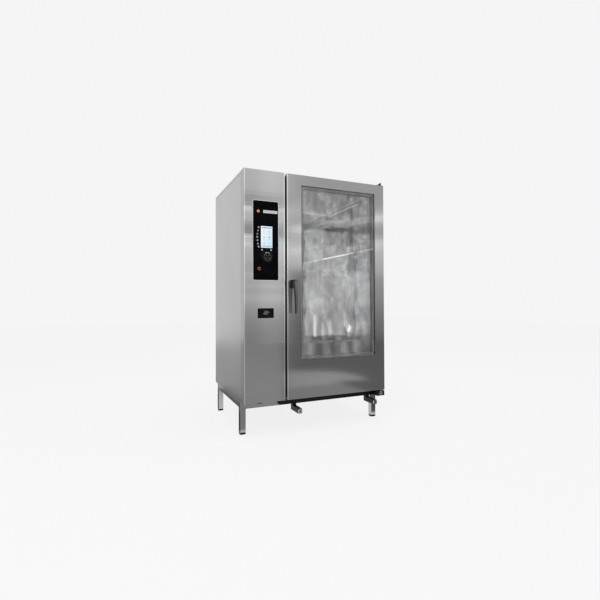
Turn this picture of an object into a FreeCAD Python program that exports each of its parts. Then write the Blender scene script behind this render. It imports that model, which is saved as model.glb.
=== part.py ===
import FreeCAD, Part
import math
import operator
import os
from types import SimpleNamespace

import Sketcher

# Combi steamer oven for a roll-in trolley, built as its separate pieces.
# Millimetres. X runs to the right along the front, Y to the back, Z up from the floor.
# The origin lies on the floor, under the middle of the whole oven's box.

SIZES = {
    # cabinet
    "cabinetWidth": 1150,
    "cabinetDepth": 900,
    "cabinetHeight": 1620,
    "cabinetBase": 235,
    "skinSheet": 1.5,
    "bendRadius": 3,
    "fitGap": 0.1,
    "panelFlange": 18,
    "topLip": 15,
    "panelSeam": 2,
    "frontZone": 66,
    "rearReach": 35,
    "handleReach": 66,
    # stand
    "tubeSide": 40,
    "tubeWall": 2,
    "legInsetLeft": 3,
    "legInsetRight": 18,
    "legInsetFront": 105,
    "legInsetRear": 66,
    "footHeight": 14,
    "footPlug": 30,
    "frontRailHeight": 49,
    "panThickness": 2,
    "panDrop": 8,
    "panLip": 12,
    "railSlotLength": 36,
    "railSlotHeight": 8,
    "railSlotOffset": 146,
    # docking guides for the trolley
    "guideWidth": 30,
    "guideHeight": 35,
    "guideWall": 3,
    "guideLength": 137,
    "guideFront": 10,
    "guideBottom": 127,
    "guideLeftInset": 420,
    "guideRightInset": 88,
    "guidePost": 34,
    "guideHole": 5,
    "guideCap": 8,
    # control column
    "columnWidth": 304,
    "coverReturn": 63,
    "frameInset": 1,
    "frameBand": 22,
    "panelLeft": 66,
    "panelWidth": 185,
    "panelBottom": 1085.5,
    "panelHeight": 552.5,
    "panelCorner": 10,
    "bezelWidth": 4,
    "bezelProud": 3,
    "glassProud": 2,
    "glassGap": 0.3,
    "displayLeft": 123,
    "displayWidth": 84,
    "displayBottom": 1311,
    "displayHeight": 151,
    "displayRecess": 0.2,
    "boardFlange": 9,
    "boardPlate": 3.5,
    "boardDepth": 40,
    "knobOffset": 164,
    "knobLevel": 1247,
    "knobRadius": 43,
    "knobGripRadius": 36,
    "knobDepth": 20,
    "knobFlange": 5,
    "knobShaft": 4,
    "knobGap": 0.5,
    "fluteRadius": 7,
    "fluteCount": 12,
    "switchLeft": 98,
    "switchWidth": 119,
    "switchBottom": 820,
    "switchHeight": 69,
    "switchRecess": 9,
    "switchFlange": 5,
    "switchWall": 2,
    "switchCentre": 161,
    "switchLevel": 857,
    "pointerLength": 46,
    "pointerWidth": 12,
    "pointerHeight": 8,
    "pointerHub": 15,
    "pointerTilt": 16,
    "pointerShaft": 4,
    # door
    "doorGap": 14,
    "doorThickness": 56,
    "windowLeft": 113,
    "windowRight": 85,
    "windowTop": 75,
    "windowBottom": 281,
    "windowCorner": 4,
    "windowLip": 8,
    "outerGlass": 6,
    "glassOverlap": 10,
    "innerFrameBand": 28,
    "innerGlass": 5,
    "innerGlassGap": 2,
    "linerPlate": 1.5,
    "glassHingeRadius": 3,
    "glassHingeBore": 3.05,
    "glassHingeLength": 40,
    "glassHingeInset": 90,
    # handle
    "handleOffset": 48,
    "handleLevel": 1060,
    "handleBlockWidth": 32,
    "handleBlockDrop": 27,
    "handleBlockHeight": 58,
    "handleBlockDepth": 30,
    "leverWidthTop": 37,
    "leverWidthTip": 15,
    "leverThickTop": 24,
    "leverThickTip": 13,
    "leverTop": 1084,
    "leverTip": 850,
    "leverBow": 7,
    "spindleRadius": 6,
    "spindleBore": 6.05,
    "camLength": 40,
    "camWidth": 12,
    "camDepth": 7,
    "camGap": 0.3,
    "slotGap": 2,
    # hinges
    "hingeInset": 25,
    "hingePinRadius": 8,
    "hingeBushBore": 8.05,
    "hingeBushRadius": 14,
    "hingeBushLength": 22,
    "hingePlate": 4,
    "lowerArmWidth": 72,
    "lowerArmHeight": 37,
    "lowerArmFront": 2,
    "washerGap": 0.3,
    "boltHeadRadius": 17,
    "boltHeadDepth": 2,
    "boltBore": 6,
    "upperArmLeft": 58,
    "upperArmRight": 8,
    "upperArmFront": 6,
    "upperArmBack": 140,
    "doorTopGap": 1.7,
    "gussetHeight": 28,
    "gussetLeft": 37,
    "gussetThickness": 5,
    # gutter
    "gutterLeft": 275,
    "gutterSlant": 24,
    "gutterFront": 71,
    "gutterFrontHeight": 36,
    "gutterFall": 8,
    "gutterWall": 1.5,
    # cavity
    "openingLeft": 405,
    "openingRight": 65,
    "openingBottom": 300,
    "openingTop": 53,
    "openingCorner": 20,
    "cavityLeft": 330,
    "cavityRight": 50,
    "cavityFloor": 290,
    "cavityTop": 43,
    "cavityRear": 100,
    "cavityCorner": 30,
    "cavitySheet": 1.5,
    "framePlate": 2,
    "frameReturn": 40,
    "gasketInset": 1,
    "gasketWidth": 13,
    "gasketGap": 0.3,
    "insulationGap": 0.3,
    "insulationRear": 48,
    "insulationLeft": 44,
    # fans and heaters
    "fanPitch": 710,
    "wheelRadius": 182,
    "wheelEye": 118,
    "wheelPlate": 2,
    "wheelWidth": 54,
    "wheelGap": 9,
    "hubRadius": 26,
    "shaftRadius": 10,
    "shaftBore": 10.05,
    "shaftHole": 14,
    "bladeCount": 12,
    "heaterSides": 24,
    "bladeSweep": 34,
    "heaterRadius": 214,
    "heaterTube": 4.5,
    "heaterLeg": 3.8,
    "heaterReach": 22,
    "heaterGap": 22,
    "heaterLegSpread": 26,
    "motorRadius": 78,
    "motorLength": 150,
    "motorFlange": 96,
    "motorFlangeDepth": 10,
    # air baffle
    "baffleOffset": 408,
    "baffleSheet": 2,
    "baffleFront": 104,
    "baffleRear": 14,
    "baffleMargin": 26,
    "baffleFold": 14,
    "grilleInner": 46,
    "grilleOuter": 148,
    "grilleSlot": 6,
    "grilleCount": 20,
    "bafflePinRadius": 3,
    "baffleKnuckle": 6,
    "baffleKnuckleLength": 36,
    "baffleTongue": 9,
    "baffleEar": 12,
    "runningGap": 0.05,
    # services
    "bulkheadSheet": 2,
    "drainRadius": 20,
    "drainOffset": 740,
    "drainDepth": 432,
    "drainBend": 16,
    "drainLevel": 262,
    "pipeWall": 1.5,
    "collarReach": 8,
    "collarDepth": 3,
    "exhaustRadius": 30,
    "exhaustRise": 38,
    "exhaustOffset": 560,
    "exhaustRear": 200,
    "inletRadius": 13.2,
    "inletBore": 9,
    "inletPitch": 60,
    "inletOffset": 120,
    "inletLevel": 330,
    "inletNut": 19,
    "inletNutDepth": 8,
    "inletReach": 30,
    "glandRadius": 20,
    "glandBore": 13,
    "glandWall": 3,
    "glandReach": 24,
    "glandLevel": 430,
    "boilerRadius": 75,
    "boilerHeight": 460,
    "boilerOffset": 150,
    "boilerRear": 140,
    "boilerDome": 26,
    "steamTube": 14,
    "steamBend": 30,
    "steamRise": 90,
    "powerPlate": 3,
    "powerRear": 70,
    "powerWidth": 260,
    "powerLevel": 960,
    "powerHeight": 340,
    "lampRadius": 42,
    "lampDepth": 22,
    "lampLevel": 1500,
    "lampOffset": 740,
    "probeLevel": 1180,
    "probeDepth": 150,
    "probeClip": 13,
    "louvreCount": 9,
    "louvrePitch": 26,
    "louvreLength": 190,
    "louvreHeight": 9,
    "louvreLevel": 560,
}

doc = FreeCAD.newDocument("combi_steamer")
sheet = doc.addObject("Spreadsheet::Sheet", "sizes")


class Size:
    """A length as a formula on the sheet's cells, with the value it has now."""

    def __init__(self, text, value):
        self.text = text
        self.value = value

    def __add__(self, other):
        return joined(self, "+", other)

    def __radd__(self, other):
        return joined(other, "+", self)

    def __sub__(self, other):
        return joined(self, "-", other)

    def __rsub__(self, other):
        return joined(other, "-", self)

    def __mul__(self, other):
        return joined(self, "*", other)

    def __rmul__(self, other):
        return joined(other, "*", self)

    def __truediv__(self, other):
        return joined(self, "/", other)

    def __neg__(self):
        return joined(0, "-", self)


SIGNS = {"+": operator.add, "-": operator.sub, "*": operator.mul, "/": operator.truediv}


def as_size(thing):
    return thing if isinstance(thing, Size) else Size(f"{thing}", thing)


def joined(first, sign, second):
    first = as_size(first)
    second = as_size(second)
    return Size(f"({first.text} {sign} {second.text})", SIGNS[sign](first.value, second.value))


def root_of(value):
    return Size(f"sqrt({value.text})", math.sqrt(value.value))


def cosine(degrees):
    return Size(f"cos({degrees.text} * 1deg)", math.cos(math.radians(degrees.value)))


def sine(degrees):
    return Size(f"sin({degrees.text} * 1deg)", math.sin(math.radians(degrees.value)))


def fill_sheet():
    """Puts every driving dimension in a cell of its own, and returns them by name."""
    for row, (alias, value) in enumerate(SIZES.items(), start=1):
        sheet.set(f"A{row}", alias)
        sheet.set(f"B{row}", str(value))
        sheet.setAlias(f"B{row}", alias)
    doc.recompute()
    return SimpleNamespace(**{alias: Size(f"sizes.{alias}", sheet.get(alias)) for alias in SIZES})


size = fill_sheet()

# ---------------------------------------------------------------- places shared by the pieces

left = -size.cabinetWidth / 2
right = size.cabinetWidth / 2
front = (size.handleReach - size.rearReach - size.cabinetDepth) / 2
back = front + size.cabinetDepth
base = size.cabinetBase
top = size.cabinetBase + size.cabinetHeight
frame_face = front + size.frontZone
frame_back = frame_face + size.framePlate
side_top = top - size.topLip - size.panelSeam

column_right = left + size.columnWidth
door_left = column_right + size.doorGap
door_back = front + size.doorThickness
window = (
    (door_left + size.windowLeft, right - size.windowRight),
    (base + size.windowBottom, top - size.windowTop),
)
opening = (
    (left + size.openingLeft, right - size.openingRight),
    (size.openingBottom, top - size.openingTop),
)
cavity_x = (left + size.cavityLeft, right - size.cavityRight)
cavity_y = (frame_back, back - size.cavityRear)
cavity_z = (size.cavityFloor, top - size.cavityTop)

pan_bottom = base - size.panDrop
stand_top = pan_bottom
foot_top = size.footHeight
hinge_x = right - size.hingeInset
hinge_y = front + size.hingeInset
handle_x = door_left + size.handleOffset
knob_x = left + size.knobOffset
switch_x = left + size.switchCentre
fan_y = (cavity_y[0] + cavity_y[1]) / 2
cavity_middle = (cavity_z[0] + cavity_z[1]) / 2
fan_levels = (cavity_middle - size.fanPitch / 2, cavity_middle + size.fanPitch / 2)
exhaust_y = back - size.exhaustRear
bulkhead_right = cavity_x[0] - size.cavitySheet - size.insulationLeft - 2 * size.insulationGap
bulkhead_left = bulkhead_right - size.bulkheadSheet
baffle_x = left + size.baffleOffset
boiler_x = left + size.boilerOffset
boiler_y = back - size.boilerRear
steam_level = pan_bottom + size.panThickness + size.boilerHeight + size.steamRise

# ---------------------------------------------------------------- how shapes are drawn

TURNS = {
    "x": FreeCAD.Rotation(FreeCAD.Vector(0, 1, 0), 90),
    "y": FreeCAD.Rotation(FreeCAD.Vector(1, 0, 0), -90),
    "z": FreeCAD.Rotation(),
}
parts = {}


def keep(name, thing):
    """Marks a finished object as the sub-part of that name."""
    thing.Label = name
    parts[name] = thing
    return thing


def bind(thing, path, value):
    thing.setExpression(path, as_size(value).text)


def put(thing, x, y, z):
    for axis, value in zip("xyz", (x, y, z)):
        bind(thing, f"Placement.Base.{axis}", value)


def block(name, x, y, z):
    """A box between the low and the high end of each axis."""
    solid = doc.addObject("Part::Box", name)
    for side, (low, high) in zip(("Length", "Width", "Height"), (x, y, z)):
        bind(solid, side, as_size(high) - low)
    put(solid, x[0], y[0], z[0])
    return solid


def rod(name, radius, along, x, y, z):
    """A cylinder; its own axis is given as low and high, the other two as its centre."""
    solid = doc.addObject("Part::Cylinder", name)
    span = {"x": x, "y": y, "z": z}[along]
    bind(solid, "Radius", radius)
    bind(solid, "Height", as_size(span[1]) - span[0])
    solid.Placement = FreeCAD.Placement(FreeCAD.Vector(), TURNS[along])
    put(solid, *(place[0] if axis == along else place for axis, place in zip("xyz", (x, y, z))))
    return solid


def fused(name, *solids):
    union = doc.addObject("Part::MultiFuse", name)
    union.Shapes = list(solids)
    union.Refine = True
    return union


def less(name, solid, *tools):
    """The solid with the tools cut out of it."""
    cut = doc.addObject("Part::Cut", name)
    cut.Base = solid
    cut.Tool = tools[0] if len(tools) == 1 else fused(f"{name}_tools", *tools)
    cut.Refine = True
    return cut


def group(name, *solids):
    """Separate solids that share one sub-part."""
    together = doc.addObject("Part::Compound", name)
    together.Links = list(solids)
    return together


def tube(name, radius, bore, along, x, y, z):
    return less(name, rod(f"{name}_outside", radius, along, x, y, z),
                rod(f"{name}_inside", bore, along, x, y, z))


def new_body(name):
    return doc.addObject("PartDesign::Body", name)


def draw(body, name, plane, offset):
    """A sketch on one of the body's own planes, moved along that plane's axis."""
    sketch = body.newObject("Sketcher::SketchObject", name)
    support = next(item for item in body.Origin.OriginFeatures if item.Role == plane)
    sketch.AttachmentSupport = [(support, "")]
    sketch.MapMode = "FlatFace"
    bind(sketch, "AttachmentOffset.Base.z", -as_size(offset) if plane == "XZ_Plane" else offset)
    return sketch


def hold(sketch, item, point, x, y):
    """Ties a point of the sketch to its distances from the sketch's origin."""
    for kind, place in (("DistanceX", as_size(x)), ("DistanceY", as_size(y))):
        number = sketch.addConstraint(Sketcher.Constraint(kind, -1, 1, item, point, place.value))
        bind(sketch, f"Constraints[{number}]", place)


def flat(x, y):
    return FreeCAD.Vector(as_size(x).value, as_size(y).value, 0)


def outline(sketch, corners):
    """A closed outline of straight lines through the corners."""
    start = sketch.GeometryCount
    count = len(corners)
    for index, corner in enumerate(corners):
        following = corners[(index + 1) % count]
        sketch.addGeometry(Part.LineSegment(flat(*corner), flat(*following)), False)
    for index, corner in enumerate(corners):
        after = start + (index + 1) % count
        sketch.addConstraint(Sketcher.Constraint("Coincident", start + index, 2, after, 1))
        hold(sketch, start + index, 1, *corner)


def oblong(sketch, x, y, radius=None):
    """A rectangle, with round corners where a radius is given."""
    if radius is None:
        outline(sketch, [(x[0], y[0]), (x[1], y[0]), (x[1], y[1]), (x[0], y[1])])
        return
    x = [as_size(value) for value in x]
    y = [as_size(value) for value in y]
    start = sketch.GeometryCount
    sides = [
        ((x[0] + radius, y[0]), (x[1] - radius, y[0])),
        ((x[1], y[0] + radius), (x[1], y[1] - radius)),
        ((x[1] - radius, y[1]), (x[0] + radius, y[1])),
        ((x[0], y[1] - radius), (x[0], y[0] + radius)),
    ]
    centres = [
        (x[1] - radius, y[0] + radius),
        (x[1] - radius, y[1] - radius),
        (x[0] + radius, y[1] - radius),
        (x[0] + radius, y[0] + radius),
    ]
    for number, (side, centre) in enumerate(zip(sides, centres)):
        sketch.addGeometry(Part.LineSegment(flat(*side[0]), flat(*side[1])), False)
        circle = Part.Circle(flat(*centre), FreeCAD.Vector(0, 0, 1), as_size(radius).value)
        begin = math.radians(90 * number - 90)
        sketch.addGeometry(Part.ArcOfCircle(circle, begin, begin + math.pi / 2), False)
    for number, side in enumerate(sides):
        line = start + 2 * number
        arc = line + 1
        following = start + 2 * ((number + 1) % 4)
        hold(sketch, line, 1, *side[0])
        hold(sketch, line, 2, *side[1])
        sketch.addConstraint(Sketcher.Constraint("Coincident", line, 2, arc, 1))
        sketch.addConstraint(Sketcher.Constraint("Coincident", arc, 2, following, 1))
        bound = sketch.addConstraint(Sketcher.Constraint("Radius", arc, as_size(radius).value))
        bind(sketch, f"Constraints[{bound}]", radius)


def circle(sketch, x, y, radius):
    round_line = Part.Circle(flat(x, y), FreeCAD.Vector(0, 0, 1), as_size(radius).value)
    item = sketch.addGeometry(round_line, False)
    hold(sketch, item, 3, x, y)
    bound = sketch.addConstraint(Sketcher.Constraint("Radius", item, as_size(radius).value))
    bind(sketch, f"Constraints[{bound}]", radius)


def faces_back(sketch):
    """A sketch on the XZ plane looks towards the front, so its normal runs against Y."""
    return sketch.AttachmentSupport[0][0].Role == "XZ_Plane"


def pad(body, name, sketch, length, onward=True):
    """Adds material, towards the higher end of the sketch's axis unless told otherwise."""
    feature = body.newObject("PartDesign::Pad", name)
    feature.Profile = sketch
    bind(feature, "Length", length)
    feature.Reversed = faces_back(sketch) == onward
    return feature


def pocket(body, name, sketch, length, onward=True):
    """Takes material away, towards the higher end of the sketch's axis unless told otherwise."""
    feature = body.newObject("PartDesign::Pocket", name)
    feature.Profile = sketch
    bind(feature, "Length", length)
    feature.Reversed = faces_back(sketch) != onward
    return feature


def round_edges(body, name, radius, chosen):
    """Rounds the edges of the body that the test picks."""
    doc.recompute()
    base_feature = body.Tip
    edges = [f"Edge{number}" for number, edge in enumerate(base_feature.Shape.Edges, start=1) if chosen(edge)]
    feature = body.newObject("PartDesign::Fillet", name)
    feature.Base = (base_feature, edges)
    bind(feature, "Radius", radius)
    return feature


def runs_along(edge, axis):
    """True for a straight edge parallel to the axis."""
    if edge.Curve.TypeId != "Part::GeomLine":
        return False
    return abs(abs(getattr(edge.Curve.Direction, axis)) - 1) < 1e-6


def ring_plate(name, outer, inner, y, corner=None, outer_corner=None):
    """A flat frame in the XZ plane, from one depth to another."""
    body = new_body(name)
    face = draw(body, f"{name}_outline", "XZ_Plane", y[0])
    oblong(face, *outer, outer_corner)
    oblong(face, *inner, corner)
    pad(body, f"{name}_pad", face, as_size(y[1]) - y[0])
    return body


# ---------------------------------------------------------------- stand


def stand_places():
    """The near left corner of each leg."""
    far = size.tubeSide
    xs = (left + size.legInsetLeft, right - size.legInsetRight - far)
    ys = (front + size.legInsetFront, back - size.legInsetRear - far)
    return xs, ys


def square_tube(name, along, x, y, z):
    """A box tube, open at the two ends of the axis it runs along."""
    wall = size.tubeWall
    inside = []
    for axis, (low, high) in zip("xyz", (x, y, z)):
        inside.append((low, high) if axis == along else (as_size(low) + wall, as_size(high) - wall))
    return less(name, block(f"{name}_outside", x, y, z), block(f"{name}_inside", *inside))


def build_stand():
    xs, ys = stand_places()
    side = size.tubeSide
    legs = []
    feet = []
    for row, y in enumerate(ys):
        for column, x in enumerate(xs):
            legs.append(square_tube(f"leg_{row}{column}", "z", (x, x + side), (y, y + side),
                                    (foot_top, stand_top)))
            foot = new_body(f"foot_{row}{column}")
            sole = draw(foot, f"foot_sole_{row}{column}", "XY_Plane", 0)
            oblong(sole, (x, x + side), (y, y + side), size.bendRadius)
            pad(foot, f"foot_cap_{row}{column}", sole, size.footHeight)
            plug = draw(foot, f"foot_socket_{row}{column}", "XY_Plane", size.footHeight)
            wall = size.tubeWall
            oblong(plug, (x + wall, x + side - wall), (y + wall, y + side - wall))
            pad(foot, f"foot_plug_{row}{column}", plug, size.footPlug)
            feet.append(foot)
    keep("stand_legs", group("legs", *legs))
    keep("stand_feet", group("feet", *feet))

    between_x = (xs[0] + side, xs[1])
    between_y = (ys[0] + side, ys[1])
    side_z = (stand_top - side, stand_top)
    front_z = (stand_top - size.frontRailHeight, stand_top)
    rail_front = square_tube("rail_front_tube", "x", between_x, (ys[0], ys[0] + side), front_z)
    slot_x = left + size.railSlotOffset
    slot_z = stand_top - side / 2
    slot = block("rail_slot", (slot_x - size.railSlotLength / 2, slot_x + size.railSlotLength / 2),
                 (ys[0] - size.tubeWall, ys[0] + 2 * size.tubeWall),
                 (slot_z - size.railSlotHeight / 2, slot_z + size.railSlotHeight / 2))
    keep("stand_rails", group(
        "rails",
        less("rail_front", rail_front, slot),
        square_tube("rail_rear", "x", between_x, (ys[1], ys[1] + side), side_z),
        square_tube("rail_left", "y", (xs[0], xs[0] + side), between_y, side_z),
        square_tube("rail_right", "y", (xs[1], xs[1] + side), between_y, side_z),
    ))


def build_docking_guides():
    """Channel arms that line up the trolley, hung from the front rail by folded posts."""
    arms = []
    caps = []
    for number, middle in enumerate((left + size.guideLeftInset, right - size.guideRightInset)):
        x = (middle - size.guideWidth / 2, middle + size.guideWidth / 2)
        z = (size.guideBottom, size.guideBottom + size.guideHeight)
        begin = front + size.guideFront
        end = begin + size.guideLength
        rail_bottom = stand_top - size.frontRailHeight
        arm = new_body(f"guide_arm_{number}")
        side = draw(arm, f"guide_side_{number}", "YZ_Plane", x[0])
        post = end - size.guidePost
        outline(side, [(begin, z[0]), (end, z[0]), (end, rail_bottom), (post, rail_bottom),
                       (post, z[1]), (begin, z[1])])
        pad(arm, f"guide_block_{number}", side, size.guideWidth)
        hollow = draw(arm, f"guide_hollow_{number}", "XZ_Plane", begin)
        wall = size.guideWall
        oblong(hollow, (x[0] + wall, x[1] - wall), (z[0] + wall, z[1] - wall))
        pocket(arm, f"guide_inside_{number}", hollow, size.guideLength - wall)
        arms.append(arm)
        cap = new_body(f"guide_cap_{number}")
        cap_face = draw(cap, f"guide_cap_face_{number}", "XZ_Plane", begin - size.guideCap)
        oblong(cap_face, x, z, size.guideWidth / 3)
        circle(cap_face, middle, (z[0] + z[1]) / 2, size.guideHole)
        pad(cap, f"guide_cap_plate_{number}", cap_face, size.guideCap)
        caps.append(cap)
    keep("docking_guides", group("guides", *arms))
    keep("docking_guide_caps", group("guide_caps", *caps))


def build_gutter():
    """Folded channel under the door that leads its drips to the side; its left end is slanted."""
    wall = size.gutterWall
    near = front + size.gutterFront
    far = front + size.legInsetFront
    left_end = left + size.gutterLeft
    right_end = right - size.lowerArmWidth
    rear_bottom = stand_top - size.frontRailHeight + wall
    front_bottom = rear_bottom + size.gutterFall
    lip = front_bottom + size.gutterFrontHeight
    body = new_body("gutter")
    section = draw(body, "gutter_section", "YZ_Plane", left_end)
    outline(section, [
        (near, lip), (near, front_bottom), (far, rear_bottom), (far, stand_top),
        (far - wall, stand_top), (far - wall, rear_bottom + wall),
        (near + wall, front_bottom + wall), (near + wall, lip),
    ])
    pad(body, "gutter_channel", section, right_end - left_end)
    corner = draw(body, "gutter_end", "XZ_Plane", near - wall)
    outline(corner, [(left_end - wall, lip + wall), (left_end - wall, rear_bottom - wall),
                     (left_end + size.gutterSlant, rear_bottom - wall), (left_end, lip + wall)])
    pocket(body, "gutter_slant", corner, far - near + 2 * wall)
    keep("drip_gutter", body)


# ---------------------------------------------------------------- cabinet shell


def build_base_pan():
    """Shallow tray on the stand; the side panels come down over its upturned lips."""
    skin = size.skinSheet
    pan = new_body("pan")
    floor = draw(pan, "pan_floor", "XY_Plane", pan_bottom)
    x = (left + skin, right - skin)
    y = (frame_back, back - skin)
    oblong(floor, x, y)
    pad(pan, "pan_block", floor, size.panDrop + size.panLip)
    inside = draw(pan, "pan_inside", "XY_Plane", pan_bottom + size.panThickness)
    thick = size.panThickness
    oblong(inside, (x[0] + thick, x[1] - thick), (y[0] + thick, y[1] - thick))
    pocket(pan, "pan_hollow", inside, size.panDrop + size.panLip)
    notch = draw(pan, "pan_drain_place", "XZ_Plane", y[1] - thick)
    circle(notch, left + size.drainOffset, size.drainLevel, size.drainRadius + size.glassGap)
    pocket(pan, "pan_drain_notch", notch, thick)
    keep("base_pan", pan)


def build_side_panels():
    """Sheets with a flange folded inwards along the rear edge, and on the left along the front."""
    skin = size.skinSheet
    flange = size.panelFlange
    near = frame_face
    far = back - skin
    panel = new_body("panel_left")
    section = draw(panel, "panel_left_section", "XY_Plane", base)
    inner = left + skin
    outline(section, [
        (left, near), (left + flange, near), (left + flange, near + skin), (inner, near + skin),
        (inner, far - skin), (left + flange, far - skin), (left + flange, far), (left, far),
    ])
    pad(panel, "panel_left_sheet", section, side_top - base)
    lift_over_pan(panel, "left", (left + skin, left + flange + skin), (near, far))
    keep("side_panel_left", panel)

    panel = new_body("panel_right")
    section = draw(panel, "panel_right_section", "XY_Plane", base)
    inner = right - skin
    outline(section, [
        (right, near), (right, far), (right - flange, far), (right - flange, far - skin),
        (inner, far - skin), (inner, near),
    ])
    pad(panel, "panel_right_sheet", section, side_top - base)
    lift_over_pan(panel, "right", (right - flange - skin, right - skin), (near, far))
    keep("side_panel_right", panel)


def lift_over_pan(panel, side, x, y):
    """The flanges end above the lips of the base pan."""
    notch = draw(panel, f"pan_notch_{side}", "XY_Plane", base)
    oblong(notch, x, y)
    pocket(panel, f"pan_clearance_{side}", notch, size.panLip + size.panelSeam)


def build_rear_panel():
    """Flat sheet with one bank of pressed louvres."""
    skin = size.skinSheet
    body = new_body("rear_sheet")
    face = draw(body, "rear_outline", "XZ_Plane", back - skin)
    oblong(face, (left, right), (base, side_top), size.bendRadius)
    holes = [
        (left + size.drainOffset, size.drainLevel, size.drainRadius + size.panelSeam),
        (left + size.inletOffset, size.inletLevel, size.inletRadius + size.fitGap),
        (left + size.inletOffset + size.inletPitch, size.inletLevel, size.inletRadius + size.fitGap),
        (left + size.inletOffset, size.glandLevel, size.glandBore + size.glandWall + size.fitGap),
    ]
    for x, z, radius in holes:
        circle(face, x, z, radius)
    pad(body, "rear_plate", face, skin)
    slot = draw(body, "louvre_slot", "XZ_Plane", back - skin)
    start = left + size.inletOffset - size.inletPitch / 2
    oblong(slot, (start, start + size.louvreLength),
           (size.louvreLevel, size.louvreLevel + size.louvreHeight))
    cut = pocket(body, "louvre_cut", slot, skin)
    rows = body.newObject("PartDesign::LinearPattern", "louvre_rows")
    rows.Originals = [cut]
    rows.Direction = (slot, ["V_Axis"])
    bind(rows, "Length", size.louvrePitch * (size.louvreCount - 1))
    bind(rows, "Occurrences", size.louvreCount)
    body.Tip = rows
    keep("rear_panel", body)


def build_top_cover():
    """Tray upside down, its lips folded down over the sides and the back."""
    skin = size.skinSheet
    body = new_body("cover_top")
    plan = draw(body, "cover_plan", "XY_Plane", top - size.topLip)
    oblong(plan, (left, right), (frame_face, back))
    pad(body, "cover_block", plan, size.topLip)
    hollow = draw(body, "cover_inside", "XY_Plane", top - size.topLip)
    oblong(hollow, (left + skin, right - skin), (frame_face - skin, back - skin))
    pocket(body, "cover_hollow", hollow, size.topLip - skin)
    hole = draw(body, "vent_place", "XY_Plane", top - size.topLip)
    circle(hole, left + size.exhaustOffset, exhaust_y,
           size.exhaustRadius + size.glassGap)
    pocket(body, "vent_hole", hole, size.topLip)
    keep("top_cover", body)


def build_column_cover():
    """Deep tray that closes the front of the control column."""
    skin = size.skinSheet
    body = new_body("cover_column")
    face = draw(body, "column_outline", "XZ_Plane", front)
    oblong(face, (left, column_right), (base, top))
    pad(body, "column_block", face, size.coverReturn)
    round_edges(body, "column_bends", size.bendRadius,
                lambda edge: runs_along(edge, "z") and edge.CenterOfMass.y < front.value + 1)
    inside = draw(body, "column_inside", "XZ_Plane", front + skin)
    oblong(inside, (left + skin, column_right - skin), (base + skin, top - skin))
    pocket(body, "column_hollow", inside, size.coverReturn)
    holes = draw(body, "column_openings", "XZ_Plane", front)
    gap = size.glassGap
    oblong(holes, (panel_x[0] - gap, panel_x[1] + gap), (panel_z[0] - gap, panel_z[1] + gap),
           size.panelCorner)
    oblong(holes, switch_box_x, switch_box_z)
    pocket(body, "column_cut", holes, skin)
    keep("column_cover", body)


def build_column_frame():
    """Angle frame that the column's cover is screwed to; it shows as the dark seam."""
    inset = size.frameInset
    outer = ((left + inset, column_right - inset), (base + inset, top - inset))
    band = size.frameBand
    inner = ((left + band, column_right - band), (base + band, top - band))
    frame = ring_plate("frame_column", outer, inner, (front + size.coverReturn, frame_face))
    keep("column_frame", frame)


# ---------------------------------------------------------------- control panel

panel_x = (left + size.panelLeft, left + size.panelLeft + size.panelWidth)
panel_z = (size.panelBottom, size.panelBottom + size.panelHeight)
display_x = (left + size.displayLeft, left + size.displayLeft + size.displayWidth)
display_z = (size.displayBottom, size.displayBottom + size.displayHeight)
switch_box_x = (left + size.switchLeft, left + size.switchLeft + size.switchWidth)
switch_box_z = (size.switchBottom, size.switchBottom + size.switchHeight)


def wider(span, by):
    return (span[0] - by, span[1] + by)


def build_control_panel():
    skin = size.skinSheet
    bezel = new_body("bezel")
    face = draw(bezel, "bezel_outline", "XZ_Plane", front - size.bezelProud)
    oblong(face, wider(panel_x, size.bezelWidth), wider(panel_z, size.bezelWidth),
           size.panelCorner + size.bezelWidth)
    oblong(face, wider(panel_x, size.glassGap), wider(panel_z, size.glassGap), size.panelCorner)
    pad(bezel, "bezel_ring", face, size.bezelProud)
    keep("panel_bezel", bezel)

    glass = new_body("control_pane")
    face = draw(glass, "pane_outline", "XZ_Plane", front - size.glassProud)
    oblong(face, panel_x, panel_z, size.panelCorner)
    oblong(face, display_x, display_z)
    circle(face, knob_x, size.knobLevel, size.knobShaft + size.knobGap)
    pad(glass, "pane_plate", face, size.glassProud + skin)
    keep("control_glass", glass)

    display_y = (front - size.glassProud + size.displayRecess, front + skin)
    keep("display_screen", block("screen", display_x, display_y, display_z))

    board = new_body("board_housing")
    flange = draw(board, "housing_flange", "XZ_Plane", front + skin)
    oblong(flange, wider(panel_x, size.boardFlange), wider(panel_z, size.boardFlange),
           size.panelCorner)
    circle(flange, knob_x, size.knobLevel, size.knobShaft + size.knobGap)
    pad(board, "housing_plate", flange, size.boardPlate)
    tray = draw(board, "housing_tray", "XZ_Plane", front + skin + size.boardPlate)
    oblong(tray, panel_x, panel_z)
    oblong(tray, wider(panel_x, -size.boardPlate), wider(panel_z, -size.boardPlate))
    pad(board, "housing_walls", tray, size.boardDepth - size.boardPlate)
    keep("control_board_housing", board)


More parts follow.
